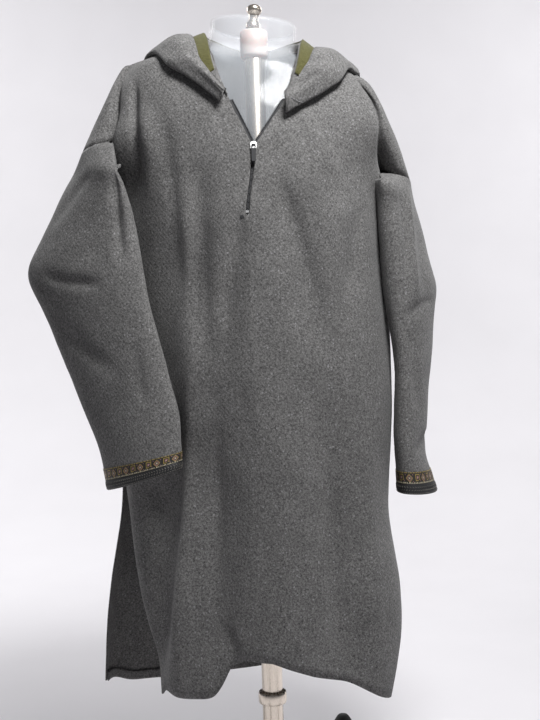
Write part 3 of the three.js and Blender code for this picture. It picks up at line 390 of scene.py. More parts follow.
def lathe(name, rows, sides, edge=0.0):
    """A turned mesh from rows of radius and height in metres; radius 0 closes an end."""
    ring = [(math.cos(math.tau * k / sides), math.sin(math.tau * k / sides)) for k in range(sides)]
    solid_rows = [row for row in rows if row[0] > 0]
    points = [(r * c, r * s, z) for r, z in solid_rows for c, s in ring]
    last = len(solid_rows) if rows[0][0] > 0 else len(solid_rows) - 1
    faces = []
    for row in range(last):
        low, high = row * sides, (row + 1) % len(solid_rows) * sides
        for k in range(sides):
            n = (k + 1) % sides
            faces.append((low + k, low + n, high + n, high + k))
    if rows[0][0] == 0:
        faces.append(tuple(range(sides)))
        faces.append(tuple(range(len(points) - sides, len(points))))
    mesh = mesh_of(name, points, faces)
    if edge:
        mesh = with_modifier(mesh, "BEVEL", width=edge, segments=2, limit_method="ANGLE")
    mesh.shade_smooth()
    mesh.set_sharp_from_angle(angle=math.radians(40))
    return mesh


chrome, tree, place = new_material("chrome_plated_steel")
# Bright chrome over drawn tube, with faint wipe marks 6 mm wide and 80 mm long.
wiped = add_node(tree, "ShaderNodeMapping", {"Vector": place, "Scale": (170, 170, 12)})
marks = add_node(tree, "ShaderNodeTexNoise", {"Vector": wiped, "Scale": 1, "Detail": 3})
dull = add_node(tree, "ShaderNodeMapRange", {"Value": marks, "To Min": 0.24, "To Max": 0.30})
plating = {"Base Color": linear("#e3d8cb"), "Metallic": 1.0, "Roughness": dull}
shader = add_node(tree, "ShaderNodeBsdfPrincipled", plating)
add_node(tree, "ShaderNodeOutputMaterial", {"Surface": shader})

pink_nylon, tree, place = new_material("translucent_pink_nylon")
# Injection-moulded nylon, milky pink, uneven in tint over about 15 mm.
flow = add_node(tree, "ShaderNodeTexNoise", {"Vector": place, "Scale": 1 / 0.015})
tints = {0: flow, 6: linear("#cbbcb8"), 7: linear("#d6c9c5")}
colour = add_node(tree, "ShaderNodeMix", tints, data_type="RGBA").outputs[2]
moulded = {"Base Color": colour, "Roughness": 0.4, "Subsurface Weight": 0.2}
shader = add_node(tree, "ShaderNodeBsdfPrincipled", moulded)
add_node(tree, "ShaderNodeOutputMaterial", {"Surface": shader})

LEAN = math.radians(5.5)
NECK_PIVOT = Vector((-3, 0, 1224)) * MM
to_pivot = Matrix.Translation(NECK_PIVOT)
lean = to_pivot @ Matrix.Rotation(LEAN, 4, "Y") @ to_pivot.inverted()

PLATE_FOOT = 1243 * MM
PLATE_THICK = 4 * MM
PLATE_MIDDLE = 20 * MM
SEAM_GAP = 0.3 * MM
upright = lean.inverted()
ring = {}
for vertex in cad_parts["neck_plate"].data.vertices:
    spot = upright @ vertex.co
    ring[round(math.atan2(spot.y, spot.x - NECK_PIVOT.x), 3)] = (spot.x, spot.y)
ring = [ring[angle] for angle in sorted(ring) if math.hypot(*ring[angle]) > PLATE_MIDDLE]
foot = [(x, y, PLATE_FOOT) for x, y in ring]
head = [(x, y, PLATE_FOOT + PLATE_THICK) for x, y in ring]
count = len(ring)
sides = [(k, (k + 1) % count, count + (k + 1) % count, count + k) for k in range(count)]
lids = [tuple(range(count)), tuple(range(count, 2 * count))]
plate = mesh_of("neck_plate", foot + head, sides + lids)
plate = with_modifier(plate, "BEVEL", width=1 * MM, segments=2, limit_method="ANGLE")
plate.transform(lean)
dressed(put_in_scene(plate, "form_neck_plate", clear_styrene), "clear_plastic", "neck_plate")

low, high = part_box("neck_bush")
r = (high.x - low.x) / 2
rows = [(0, low.z), (r - 4 * MM, low.z), (r - 1 * MM, low.z + 2 * MM), (r, low.z + 5 * MM)]
rows += [(r, high.z - 3 * MM), (r - 1 * MM, high.z - 1 * MM), (r - 3 * MM, high.z), (0, high.z)]
dressed(put_in_scene(lathe("pole_bush", rows, 48), "pole_bush", pink_nylon), "pink_plastic", "neck_bush")

KNOB_STEM = [(0, 0), (12, 0), (12, 5), (11, 6.5), (8.5, 9), (8, 11), (8, 19), (9, 21)]
KNOB_BALL = {"low": 19, "high": 37, "radius": 12.4, "steps": 12}
rows = [(r * MM, z * MM) for r, z in KNOB_STEM]
middle = (KNOB_BALL["low"] + KNOB_BALL["high"]) / 2
for k in range(1, KNOB_BALL["steps"]):
    turn = math.pi * k / KNOB_BALL["steps"]
    z = middle - (KNOB_BALL["high"] - middle) * math.cos(turn)
    if z > KNOB_STEM[-1][1] + 1:
        rows.append((KNOB_BALL["radius"] * math.sin(turn) * MM, z * MM))
rows.append((0, KNOB_BALL["high"] * MM))
knob = lathe("form_knob", rows, 40)
knob.transform(Matrix.Translation((NECK_PIVOT.x, 0, PLATE_FOOT + PLATE_THICK + SEAM_GAP)))
knob.transform(lean)
dressed(put_in_scene(knob, "form_knob", chrome), "chrome", "neck_knob")


# ---- Pole, collar, hub, legs and feet ----
# A 33 mm chrome pole stands in a hub. Four chrome legs with capped rubber feet are fixed in the
# hub, and a clamp collar rings the pole under the hem.

low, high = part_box("pole")
pole_r = (high.x - low.x) / 2
rows = [(0, low.z), (pole_r, low.z), (pole_r, high.z), (0, high.z)]
pole = lathe("chrome_pole", rows, 72, 0.8 * MM)
dressed(put_in_scene(pole, "chrome_pole", chrome), "chrome", "pole")

low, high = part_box("pole_collar")
r = (high.x - low.x) / 2
bore = pole_r + SEAM_GAP
rows = [(bore, low.z), (r - 1 * MM, low.z), (r, low.z + 3 * MM), (r, high.z - 3 * MM)]
rows += [(r - 1 * MM, high.z), (bore, high.z)]
collar = lathe("pole_clamp_collar", rows, 72, 0.5 * MM)
dressed(put_in_scene(collar, "pole_clamp_collar", chrome), "chrome", "pole_collar")

low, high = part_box("base_hub")
hub_r = (high.x - low.x) / 2
SOCKET_FLOOR = 8 * MM
rows = [(0, low.z), (hub_r, low.z), (hub_r, high.z - 8 * MM), (hub_r - 2 * MM, high.z - 4 * MM)]
rows += [(hub_r - 8 * MM, high.z), (bore, high.z), (bore, SOCKET_FLOOR), (0, SOCKET_FLOOR)]
hub = lathe("stand_hub", rows, 72, 0.6 * MM)
dressed(put_in_scene(hub, "stand_hub", chrome), "chrome", "base_hub")

rubber, tree, place = new_material("black_rubber")
# Moulded rubber, matt and finely grained, with a faint dusty bloom in patches of 20 mm.
bloom = add_node(tree, "ShaderNodeTexNoise", {"Vector": place, "Scale": 1 / 0.02, "Detail": 4})
grain = add_node(tree, "ShaderNodeTexNoise", {"Vector": place, "Scale": 1 / 0.0008})
tints = {0: bloom, 6: linear("#121212"), 7: linear("#262625")}
matt = {
    "Base Color": add_node(tree, "ShaderNodeMix", tints, data_type="RGBA").outputs[2],
    "Roughness": 0.75,
    "Normal": add_node(tree, "ShaderNodeBump", {"Height": grain, "Distance": 0.1 * MM, "Strength": 0.3}),
}
shader = add_node(tree, "ShaderNodeBsdfPrincipled", matt)
add_node(tree, "ShaderNodeOutputMaterial", {"Surface": shader})

LEG_R = 12 * MM
LEG_STOP = 16.8 * MM
FOOT_ROWS = [(0, 0), (18, 0), (19, 1), (19, 9), (17.5, 13), (16.5, 18), (16.5, 42), (16, 45)]
FOOT_ROWS += [(13, 50), (10.5, 53.5), (8, 56), (4, 57), (0, 57)]
for corner in ("back_right", "back_left", "front_left", "front_right"):
    low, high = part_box(f"foot_{corner}")
    centre = Vector(((low.x + high.x) / 2, (low.y + high.y) / 2, 0))
    foot = lathe(f"rubber_foot_{corner}", [(r * MM, z * MM) for r, z in FOOT_ROWS], 48)
    foot.transform(Matrix.Translation(centre))
    dressed(put_in_scene(foot, f"rubber_foot_{corner}", rubber), "rubber", f"foot_{corner}")
    low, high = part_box(f"leg_{corner}")
    direction = centre.normalized()
    start, end = hub_r + SEAM_GAP, centre.length - LEG_STOP
    rows = [(0, start), (LEG_R, start), (LEG_R, end), (0, end)]
    leg = lathe(f"stand_leg_{corner}", rows, 48, 0.8 * MM)
    leg.transform(Vector((0, 0, 1)).rotation_difference(direction).to_matrix().to_4x4())
    leg.transform(Matrix.Translation((0, 0, (low.z + high.z) / 2)))
    dressed(put_in_scene(leg, f"stand_leg_{corner}", chrome), "chrome", f"leg_{corner}")


# ---- Front and back panels ----
# Heathered grey wool tweed of about 2 mm, cut wide with dropped shoulders and hung from the
# form. The panels meet at the shoulders and down the sides to the slits.

tweed, tree, place = new_material("heathered_wool_tweed")
# Woollen tweed: dark and light grey fibres spun together, so that the yarn is mottled, with stray
# pale neps, a faint twill and a short raised nap. The yarns are 1.5 to 3 mm and the twill's ribs
# 5 mm apart, coarser than real ones, so that they show.
yarn = {"Vector": place, "Scale": 1 / 0.0030, "Detail": 3, "Roughness": 0.7}
fibre = {"Vector": place, "Scale": 1 / 0.0014, "Detail": 2, "Roughness": 0.6}
yarn, fibre = (add_node(tree, "ShaderNodeTexNoise", fluff) for fluff in (yarn, fibre))
yarn = add_node(tree, "ShaderNodeMath", {0: yarn, 1: 0.6}, operation="MULTIPLY")
fibre = add_node(tree, "ShaderNodeMath", {0: fibre, 1: 0.4}, operation="MULTIPLY")
spun = add_node(tree, "ShaderNodeMath", {0: yarn, 1: fibre}, operation="ADD")
heather = add_node(tree, "ShaderNodeMapRange", {"Value": spun, "From Min": 0.37, "From Max": 0.63})
tints = {0: heather, 6: linear("#3b3a3a"), 7: linear("#7a7978")}
mottled = add_node(tree, "ShaderNodeMix", tints, data_type="RGBA").outputs[2]
neps = add_node(tree, "ShaderNodeTexVoronoi", {"Vector": place, "Scale": 1 / 0.0046})
near = {"Value": neps.outputs["Distance"], "From Min": 0.10, "From Max": 0.34, "To Min": 1, "To Max": 0}
near = add_node(tree, "ShaderNodeMapRange", near)
chance = add_node(tree, "ShaderNodeSeparateColor", {"Color": neps.outputs["Color"]})
chosen = add_node(tree, "ShaderNodeMath", {0: chance, 1: 0.8}, operation="GREATER_THAN")
nep = add_node(tree, "ShaderNodeMath", {0: near, 1: chosen}, operation="MULTIPLY")
nep = add_node(tree, "ShaderNodeMath", {0: nep, 1: 0.42}, operation="MULTIPLY")
tints = {0: nep, 6: mottled, 7: linear("#aeadb1")}
flecked = add_node(tree, "ShaderNodeMix", tints, data_type="RGBA").outputs[2]
worn = add_node(tree, "ShaderNodeTexNoise", {"Vector": place, "Scale": 1 / 0.05, "Detail": 3})
shade = add_node(tree, "ShaderNodeMapRange", {"Value": worn, "To Min": 0.78, "To Max": 1.22})
colour = add_node(tree, "ShaderNodeVectorMath", {0: flecked, "Scale": shade}, operation="SCALE")
slanted = add_node(tree, "ShaderNodeMapping", {"Vector": place, "Rotation": (0, 0.66, 0)})
twill = {"Vector": slanted, "Scale": 1 / 0.0155, "Distortion": 2.5, "Detail": 2, "Detail Scale": 30}
ribs = add_node(tree, "ShaderNodeTexWave", twill).outputs["Fac"]
nap = add_node(tree, "ShaderNodeMath", {0: ribs, 1: 0.22, 2: spun}, operation="MULTIPLY_ADD")
napped = {
    "Base Color": colour,
    "Roughness": 0.95,
    "Specular IOR Level": 0.15,
    "Sheen Weight": 0.12,
    "Sheen Roughness": 0.5,
    "Normal": add_node(tree, "ShaderNodeBump", {"Height": nap, "Distance": 0.8 * MM, "Strength": 0.6}),
}
shader = add_node(tree, "ShaderNodeBsdfPrincipled", napped)
add_node(tree, "ShaderNodeOutputMaterial", {"Surface": shader})

FADE = 0.3
SLACK_SIZE = 0.07
WRINKLE_SIZE = 0.028


def creased(mesh, creases, slack=1.0):
    """Moves the cloth's points along its normals, by the creases given and a faint slackness.

    A crease runs from (x, z) to (x, z) on the side it names, in front (-1) or behind (1). It is a
    trough or ridge of that half width and rise, bowed by its bend, dying away at both ends. All
    are in mm, as the slackness is.
    """
    points = places_of(mesh)
    normals = np.empty(len(points) * 3)
    mesh.vertex_normals.foreach_get("vector", normals)
    lift = np.zeros(len(points))
    for head, foot, side, half, rise, bend in creases:
        head, foot = np.array(head) * MM, np.array(foot) * MM
        run = foot - head
        offset = points[:, [0, 2]] - head
        share = offset @ run / (run @ run)
        bow = 4 * bend * MM * np.clip(share, 0, 1) * np.clip(1 - share, 0, 1)
        away = (offset[:, 0] * run[1] - offset[:, 1] * run[0]) / np.linalg.norm(run) - bow
        ends = np.clip(share / FADE, 0, 1) * np.clip((1 - share) / FADE, 0, 1)
        ends = ends * ends * (3 - 2 * ends)
        near = points[:, 1] * side > 0
        lift += rise * MM * ends * np.exp(-((away / (half * MM)) ** 2)) * near
    spots = [Vector(point) for point in points]
    rough = np.array([noise.noise(p / SLACK_SIZE) + 0.5 * noise.noise(p / WRINKLE_SIZE) for p in spots])
    place_points(mesh, points + normals.reshape(-1, 3) * (lift + slack * MM * rough)[:, None])
    return mesh


def nudged(mesh, patches):
    """Shifts the cloth's points by soft-edged patches, each a centre, radii and a shift in mm."""
    points = places_of(mesh)
    for centre, radii, shift in patches:
        away = (points - np.array(centre) * MM) / (np.array(radii) * MM)
        share = np.exp(-((away**2).sum(axis=1)))
        points += share[:, None] * np.array(shift) * MM
    place_points(mesh, points)
    return mesh


FRONT, BACK = -1, 1
# Head, foot, side, half width, rise and bend.
FRONT_CREASES = [
    ((-185, 1170), (-181, 990), FRONT, 6, -9, 3),
    ((-172, 1130), (-166, 960), FRONT, 8, 3, -3),
    ((-142, 1110), (-120, 770), FRONT, 10, -5, -4),
    ((-84, 1040), (-101, 740), FRONT, 10, -5, 3),
    ((-14, 970), (-60, 740), FRONT, 10, -5, 4),
    ((24, 1010), (90, 750), FRONT, 12, -5, -5),
    ((60, 1120), (132, 960), FRONT, 12, 3, 3),
    ((158, 960), (132, 790), FRONT, 10, -4.5, 4),
    ((-100, 800), (-166, 176), FRONT, 9, 6, -5),
    ((-120, 700), (-188, 172), FRONT, 18, -15, -5),
    ((-66, 640), (-78, 200), FRONT, 9, -5, 3),
    ((-20, 600), (-30, 300), FRONT, 16, 3, -4),
    ((90, 600), (98, 240), FRONT, 12, -5.5, -3),
    ((150, 640), (160, 330), FRONT, 13, 3.4, 4),
    ((-66, 340), (-44, 240), FRONT, 10, -6, 0),
]
BACK_CREASES = [
    ((-150, 1080), (-170, 820), BACK, 11, -5, 5),
    ((-90, 980), (-104, 640), BACK, 13, -4.5, -5),
    ((-30, 940), (-44, 700), BACK, 11, 3.4, 4),
    ((40, 960), (52, 640), BACK, 14, -4.5, 5),
    ((96, 1060), (120, 820), BACK, 12, -4.6, -4),
    ((-190, 560), (-214, 300), BACK, 12, -5, 3),
    ((-120, 520), (-128, 230), BACK, 14, 4, -4),
    ((10, 560), (0, 260), BACK, 15, -4.6, 4),
    ((110, 620), (126, 300), BACK, 13, -5, 3),
]
# The right side seams lie out under the sleeve that hangs against them, and the left armhole
# fills the corner above its sleeve. Centre, radii and shift.
SIDE_PATCHES = [
    ((192, 8, 990), (24, 40, 40), (10, 0, 0)),
    ((196, 8, 915), (26, 40, 60), (10, 0, 0)),
    ((198, 8, 800), (26, 40, 80), (9, 0, 0)),
    ((206, 8, 660), (26, 40, 80), (3, 0, 0)),
    ((-213, -40, 1034), (14, 40, 34), (-6, -7, 0)),
    ((-204, 16, 1016), (16, 34, 30), (-13, 0, 0)),
    ((190, -36, 992), (16, 30, 22), (5, -6, 0)),
    ((-162, -60, 515), (34, 50, 60), (3, 15, 0)),
]
TWEED_THICK = 2 * MM
TWEED_REACH = 4.5 * MM


def cloth_piece(name, node, levels, creases, patches=(), slack=1.0):
    """A tweed piece on the form of one of the frame's walls, with its creases."""
    layer = nudged(creased(smoother(outer_layer(node, TWEED_REACH), levels), creases, slack), patches)
    return dressed(put_in_scene(thick(layer, TWEED_THICK), name, tweed), "tweed", node)


front_panel = cloth_piece("pheran_front", "front", 2, FRONT_CREASES, SIDE_PATCHES)
back_panel = cloth_piece("pheran_back", "back", 2, BACK_CREASES, SIDE_PATCHES)


# ---- Sleeves ----
# Two straight tubes of the same tweed, sewn to the dropped shoulders. The left one bends at the
# elbow and comes forward over the body; the right one hangs straight.

LEFT_SLEEVE_CREASES = [
    ((-214, 1030), (-204, 850), FRONT, 8, -7, 2),
    ((-240, 1020), (-335, 920), FRONT, 10, -3.5, 5),
    ((-205, 960), (-270, 860), FRONT, 11, -4, -5),
    ((-345, 860), (-230, 836), FRONT, 9, -4.5, 6),
    ((-335, 800), (-210, 700), FRONT, 12, -3.6, 8),
    ((-190, 760), (-170, 640), FRONT, 10, -3, 3),
    ((-280, 960), (-330, 800), BACK, 12, -4, 5),
    ((-250, 760), (-220, 620), BACK, 12, -4, -4),
]
RIGHT_SLEEVE_CREASES = [
    ((222, 1000), (232, 830), FRONT, 8, -4.5, 3),
    ((250, 930), (258, 790), FRONT, 8, -3, 2),
    ((222, 780), (232, 620), FRONT, 9, -4, -3),
    ((274, 806), (214, 770), FRONT, 8, -3.4, 2),
    ((262, 600), (226, 560), FRONT, 8, -3, 2),
    ((246, 940), (250, 700), BACK, 11, -4, 4),
    ((233, 1010), (241, 790), FRONT, 5, 3.5, 1),
]
LEFT_SLEEVE_PATCHES = [
    ((-255, -30, 1045), (60, 70, 18), (0.5, -0.8, 1.6)),
    ((-222, -50, 1030), (14, 50, 34), (5, -2, 0)),
    ((-215, -50, 1018), (10, 50, 18), (4, 0, 0)),
]
RIGHT_SLEEVE_PATCHES = [
    ((230, -40, 985), (50, 70, 18), (0, -1.2, 1.6)),
    ((194, -48, 985), (20, 50, 22), (-5, 0, 5)),
    ((190, -48, 940), (16, 40, 70), (-4, 0, 0)),
    ((193, -56, 830), (16, 40, 70), (-3, 0, 0)),
]
sleeve_left = cloth_piece("pheran_sleeve_left", "sleeve_left", 3, LEFT_SLEEVE_CREASES, LEFT_SLEEVE_PATCHES)
sleeve_right = cloth_piece(
    "pheran_sleeve_right", "sleeve_right", 3, RIGHT_SLEEVE_CREASES, RIGHT_SLEEVE_PATCHES
)


# ---- Hood and its lining ----
# The hood lies open behind the neck, in two halves with a centre seam. Its lining of olive
# fleece shows inside the roll beside the neck and in the mouth of the pouch.

fleece, tree, place = new_material("olive_polar_fleece")
# Brushed knit fleece: a soft matt pile with small tufts about 2 mm across.
tufts = {"Vector": place, "Scale": 1 / 0.0022, "Detail": 3, "Roughness": 0.6}
tufts = add_node(tree, "ShaderNodeTexNoise", tufts)
pile = add_node(tree, "ShaderNodeMapRange", {"Value": tufts, "From Min": 0.3, "From Max": 0.7})
tints = {0: pile, 6: linear("#3b3a1e"), 7: linear("#585637")}
brushed = {
    "Base Color": add_node(tree, "ShaderNodeMix", tints, data_type="RGBA").outputs[2],
    "Roughness": 1.0,
    "Specular IOR Level": 0.1,
    "Sheen Weight": 0.2,
    "Normal": add_node(tree, "ShaderNodeBump", {"Height": tufts, "Distance": 1 * MM, "Strength": 0.7}),
}
shader = add_node(tree, "ShaderNodeBsdfPrincipled", brushed)
add_node(tree, "ShaderNodeOutputMaterial", {"Surface": shader})

FLEECE_THICK = 1.4 * MM
FLEECE_REACH = 3.4 * MM
# The roll sags beside the neck and at the nape, and the fold lies flat on the shoulders.
HOOD_SAG = [
    ((-92, 25, 1248), (34, 50, 40), (0, 0, -7)),
    ((-155, 20, 1246), (42, 80, 44), (3, 0, -17)),
    ((92, 25, 1236), (34, 50, 40), (0, 0, -9)),
    ((138, 20, 1216), (40, 80, 42), (-2, 0, -13)),
    ((0, 92, 1246), (70, 46, 40), (0, 0, -20)),
]
HOOD_CREASES = {
    "left": [
        ((-70, 1170), (-150, 1196), FRONT, 8, -3, 4),
        ((-120, 1160), (-90, 1010), BACK, 12, -5, 6),
        ((-50, 1200), (-40, 1020), BACK, 13, -4, -4),
    ],
    "right": [
        ((104, 1148), (56, 1112), FRONT, 6, -6, 4),
        ((70, 1160), (140, 1170), FRONT, 9, -3, -4),
        ((116, 1150), (76, 1000), BACK, 12, -5, -6),
        ((40, 1190), (36, 1040), BACK, 12, 4, 4),
    ],
}
for hand in ("left", "right"):
    half = cloth_piece(f"pheran_hood_{hand}", f"hood_{hand}", 2, HOOD_CREASES[hand], HOOD_SAG, slack=0.9)
    name = f"pheran_hood_lining_{hand}"
    layer = creased(smoother(outer_layer(f"hood_lining_{hand}", FLEECE_REACH), 2), [], slack=0.2)
    wall = thick(nudged(layer, HOOD_SAG), FLEECE_THICK)
    lining = dressed(put_in_scene(wall, name, fleece), "fleece", f"hood_lining_{hand}")


# ---- Turned hem of the back panel ----
# The back's lower edge is turned up 15 mm to the inside and slip-stitched.

layer = smoother(outer_layer("back_hem", TWEED_REACH), 2)
hem = dressed(put_in_scene(thick(layer, TWEED_THICK), "pheran_back_hem", tweed), "tweed", "back_hem")


# ---- Quarter zip ----
# A black nylon zip: woven tapes behind the open V, small moulded teeth, a plated slider with a
# black pull tab, and a plated stop at the foot.

black_tape, tree, place = new_material("black_woven_zip_tape")
# Polyester tape, ribbed about every 1.3 mm: coarser than real ribs, so that they show.
ribs = add_node(tree, "ShaderNodeTexWave", {"Vector": place, "Scale": 1 / 0.004}).outputs["Fac"]
tints = {0: ribs, 6: linear("#0f0f11"), 7: linear("#232327")}
woven = {
    "Base Color": add_node(tree, "ShaderNodeMix", tints, data_type="RGBA").outputs[2],
    "Roughness": 0.7,
    "Normal": add_node(tree, "ShaderNodeBump", {"Height": ribs, "Distance": 0.2 * MM, "Strength": 0.5}),
}
shader = add_node(tree, "ShaderNodeBsdfPrincipled", woven)
add_node(tree, "ShaderNodeOutputMaterial", {"Surface": shader})

nickel, tree, place = new_material("nickel_plated_zinc")
# Die-cast and tumbled, so it is bright with softened marks 1 mm apart.
tumbled = add_node(tree, "ShaderNodeTexNoise", {"Vector": place, "Scale": 1 / 0.0012, "Detail": 3})
dull = add_node(tree, "ShaderNodeMapRange", {"Value": tumbled, "To Min": 0.26, "To Max": 0.48})
plating = {"Base Color": linear("#e6e6e6"), "Metallic": 1.0, "Roughness": dull}
shader = add_node(tree, "ShaderNodeBsdfPrincipled", plating)
add_node(tree, "ShaderNodeOutputMaterial", {"Surface": shader})

nylon_teeth, tree, place = new_material("black_nylon_teeth")
# Moulded nylon, smooth with a slight sheen, a little uneven from the mould.
flow = add_node(tree, "ShaderNodeTexNoise", {"Vector": place, "Scale": 1 / 0.003})
tints = {0: flow, 6: linear("#101013"), 7: linear("#1d1d21")}
colour = add_node(tree, "ShaderNodeMix", tints, data_type="RGBA").outputs[2]
shader = add_node(tree, "ShaderNodeBsdfPrincipled", {"Base Color": colour, "Roughness": 0.35})
add_node(tree, "ShaderNodeOutputMaterial", {"Surface": shader})

for material, nodes in (
    (black_tape, ("zip_tape_left", "zip_tape_right", "zip_chain", "zip_pull")),
    (nickel, ("zip_slider", "zip_stop")),
):
    for node in nodes:
        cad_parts[node].data.materials.clear()
        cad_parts[node].data.materials.append(material)


CURVE_STEPS = 16


def smooth_path(spots, step):
    """Points evenly spread, about a step apart, on a smooth curve through the spots."""
    spots = [Vector(spot) for spot in spots]
    fine = []
    for k in range(len(spots) - 1):
        before, low, high, after = (spots[min(max(k + d, 0), len(spots) - 1)] for d in (-1, 0, 1, 2))
        for n in range(CURVE_STEPS):
            t = n / CURVE_STEPS
            straight = 2 * low + (high - before) * t
            square = (2 * before - 5 * low + 4 * high - after) * t**2
            cube = (3 * low - before - 3 * high + after) * t**3
            fine.append(0.5 * (straight + (square + cube)))
    fine.append(spots[-1])
    lengths = [0.0]
    for low, high in zip(fine, fine[1:]):
        lengths.append(lengths[-1] + (high - low).length)
    count = max(1, round(lengths[-1] / step))
    path, k = [], 0
    for n in range(count + 1):
        goal = lengths[-1] * n / count
        while k < len(fine) - 2 and lengths[k + 1] < goal:
            k += 1
        stretch = max(lengths[k + 1] - lengths[k], 1e-9)
        path.append(fine[k].lerp(fine[k + 1], (goal - lengths[k]) / stretch))
    return path


def rounded_bits(name, path, normals, size, material, turn=0.0):
    """Small rounded bits in a row along a path, one at each of its points, by Geometry Nodes.

    A bit's size is its length along the path, its width and its height.
    """
    row = mesh_of(name, path, [], [(k, k + 1) for k in range(len(path) - 1)])
    facing = row.attributes.new("facing", "FLOAT_VECTOR", "POINT")
    facing.data.foreach_set("vector", [value for normal in normals for value in normal])
    along = row.attributes.new("along", "FLOAT_VECTOR", "POINT")
    runs = [b - a for a, b in zip(path[:1] + path[:-1], path[1:] + path[-1:])]
    along.data.foreach_set("vector", [value for run in runs for value in run.normalized()])
    group = bpy.data.node_groups.new(name, "GeometryNodeTree")
    group.interface.new_socket("Geometry", in_out="INPUT", socket_type="NodeSocketGeometry")
    group.interface.new_socket("Geometry", in_out="OUTPUT", socket_type="NodeSocketGeometry")
    sized = group.interface.new_socket("Size", in_out="INPUT", socket_type="NodeSocketVector")
    start = add_node(group, "NodeGroupInput")
    ball = add_node(group, "GeometryNodeMeshIcoSphere", {"Radius": 0.5, "Subdivisions": 2})
    vectors = {}
    for key in ("along", "facing"):
        named = add_node(group, "GeometryNodeInputNamedAttribute", {"Name": key}, data_type="FLOAT_VECTOR")
        vectors[key] = named.outputs["Attribute"]
    tilt = add_node(group, "FunctionNodeAlignRotationToVector", {"Vector": vectors["along"]}, axis="X")
    upright = {"Rotation": tilt, "Vector": vectors["facing"]}
    tilt = add_node(group, "FunctionNodeAlignRotationToVector", upright, axis="Z", pivot_axis="X")
    turned = {0: tilt, 1: (0, 0, turn)}
    tilt = add_node(group, "FunctionNodeRotateRotation", turned, rotation_space="LOCAL")
    bits = {"Points": start, "Instance": ball, "Rotation": tilt, "Scale": start.outputs["Size"]}
    bits = add_node(group, "GeometryNodeInstanceOnPoints", bits)
    real = add_node(group, "GeometryNodeRealizeInstances", {0: bits})
    coated = add_node(group, "GeometryNodeSetMaterial", {"Geometry": real, "Material": material})
    add_node(group, "NodeGroupOutput", {0: coated})
    holder = linked(name, row)
    modifier = holder.modifiers.new("bits", "NODES")
    modifier.node_group = group
    modifier[sized.identifier] = size
    mesh = mesh_after(holder)
    mesh.shade_smooth()
    piece = linked(name, mesh)
    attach(piece, "garment")
    return piece


TOOTH = (0.9 * MM, 2.4 * MM, 1.3 * MM)
TOOTH_PITCH = 1.5 * MM
TOOTH_OVERHANG = 0.2 * MM
TOOTH_RISE = 0.5 * MM
TAPE_REACH = 1.6 * MM
OPEN_FROM = 1037 * MM
for hand, node in ((-1, "zip_tape_left"), (1, "zip_tape_right")):
    rows = {}
    for vertex in outer_layer(node, TAPE_REACH).vertices:
        rows.setdefault(round(vertex.co.z, 4), []).append(vertex.co.copy())
    full = [spots for z, spots in sorted(rows.items()) if z > OPEN_FROM and len(spots) > 1]
    edge = [min(spots, key=lambda spot: hand * spot.x + spot.y) for spots in full]
    edge = [spot + Vector((-hand * TOOTH_OVERHANG, -TOOTH_RISE, 0)) for spot in edge]
    path = smooth_path(edge, TOOTH_PITCH)
    name = node.replace("tape", "teeth")
    teeth = rounded_bits(name, path, [Vector((0, -1, 0.2))] * len(path), TOOTH, nylon_teeth)

FACE_DEPTH = 0.7 * MM
STAGGER = 0.5 * MM
CHAIN_RISE = 0.2 * MM
rows = {}
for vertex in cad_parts["zip_chain"].data.vertices:
    rows.setdefault(round(vertex.co.z, 4), []).append(vertex.co)
spine = []
for z, spots in sorted(rows.items()):
    front_y = min(spot.y for spot in spots)
    fronts = [spot for spot in spots if spot.y < front_y + FACE_DEPTH]
    if len(fronts) > 1:
        spine.append(sum(fronts, Vector()) / len(fronts))
path = smooth_path(spine, TOOTH_PITCH)
sides = [STAGGER if k % 2 else -STAGGER for k in range(len(path))]
path = [spot + Vector((side, -CHAIN_RISE, 0)) for spot, side in zip(path, sides)]
teeth = rounded_bits("zip_teeth_closed", path, [Vector((0, -1, 0.1))] * len(path), TOOTH, nylon_teeth)


# ---- Cuff borders ----
# Each cuff has a woven ribbon with a gilt key and diamond border on dark ground, and under it a
# dark plaited braid. Both are sewn flat round the sleeve, with a thin pale line between.

BAND_REACH = 1.8 * MM
FINE_STEP = 0.2 * MM


def around(node):
    """The upper and lower edge of a band's outer layer, as closed rows that start together."""
    work = bmesh.new()
    work.from_mesh(outer_layer(node, BAND_REACH))
    loops, left = [], {edge for edge in work.edges if edge.is_boundary}
    while left:
        edge = left.pop()
        loop = list(edge.verts)
        while True:
            step = [e for e in loop[-1].link_edges if e in left]
            if not step:
                break
            left.discard(step[0])
            loop.append(step[0].other_vert(loop[-1]))
        loops.append([vertex.co.copy() for vertex in loop[:-1]])
    work.free()
    loops.sort(key=lambda loop: -len(loop))
    loops = sorted(loops[:2], key=lambda loop: -sum(spot.z for spot in loop) / len(loop))
    matched = []
    for loop in loops:
        centre = sum(loop, Vector()) / len(loop)
        turning = sum(((a - centre).cross(b - centre)).z for a, b in zip(loop, loop[1:]))
        loop = loop if turning > 0 else loop[::-1]
        first = max(range(len(loop)), key=lambda k: loop[k].y)
        matched.append(loop[first:] + loop[:first])
    return matched


def ring_points(loop, count):
    """That many points evenly spread on a smooth closed curve."""
    path = smooth_path(loop[-2:] + loop + loop[:3], FINE_STEP)
    half = len(path) // 2
    first = min(range(half), key=lambda k: (path[k] - loop[0]).length)
    last = min(range(half, len(path)), key=lambda k: (path[k] - loop[0]).length)
    return [path[first + round((last - first) * k / count)] for k in range(count)]


def seated_on(tree, spot, lift):
    """The spot moved to that height above the cloth, and the cloth's normal there."""
    place, normal, _, _ = tree.find_nearest(spot)
    return place + normal * lift, normal


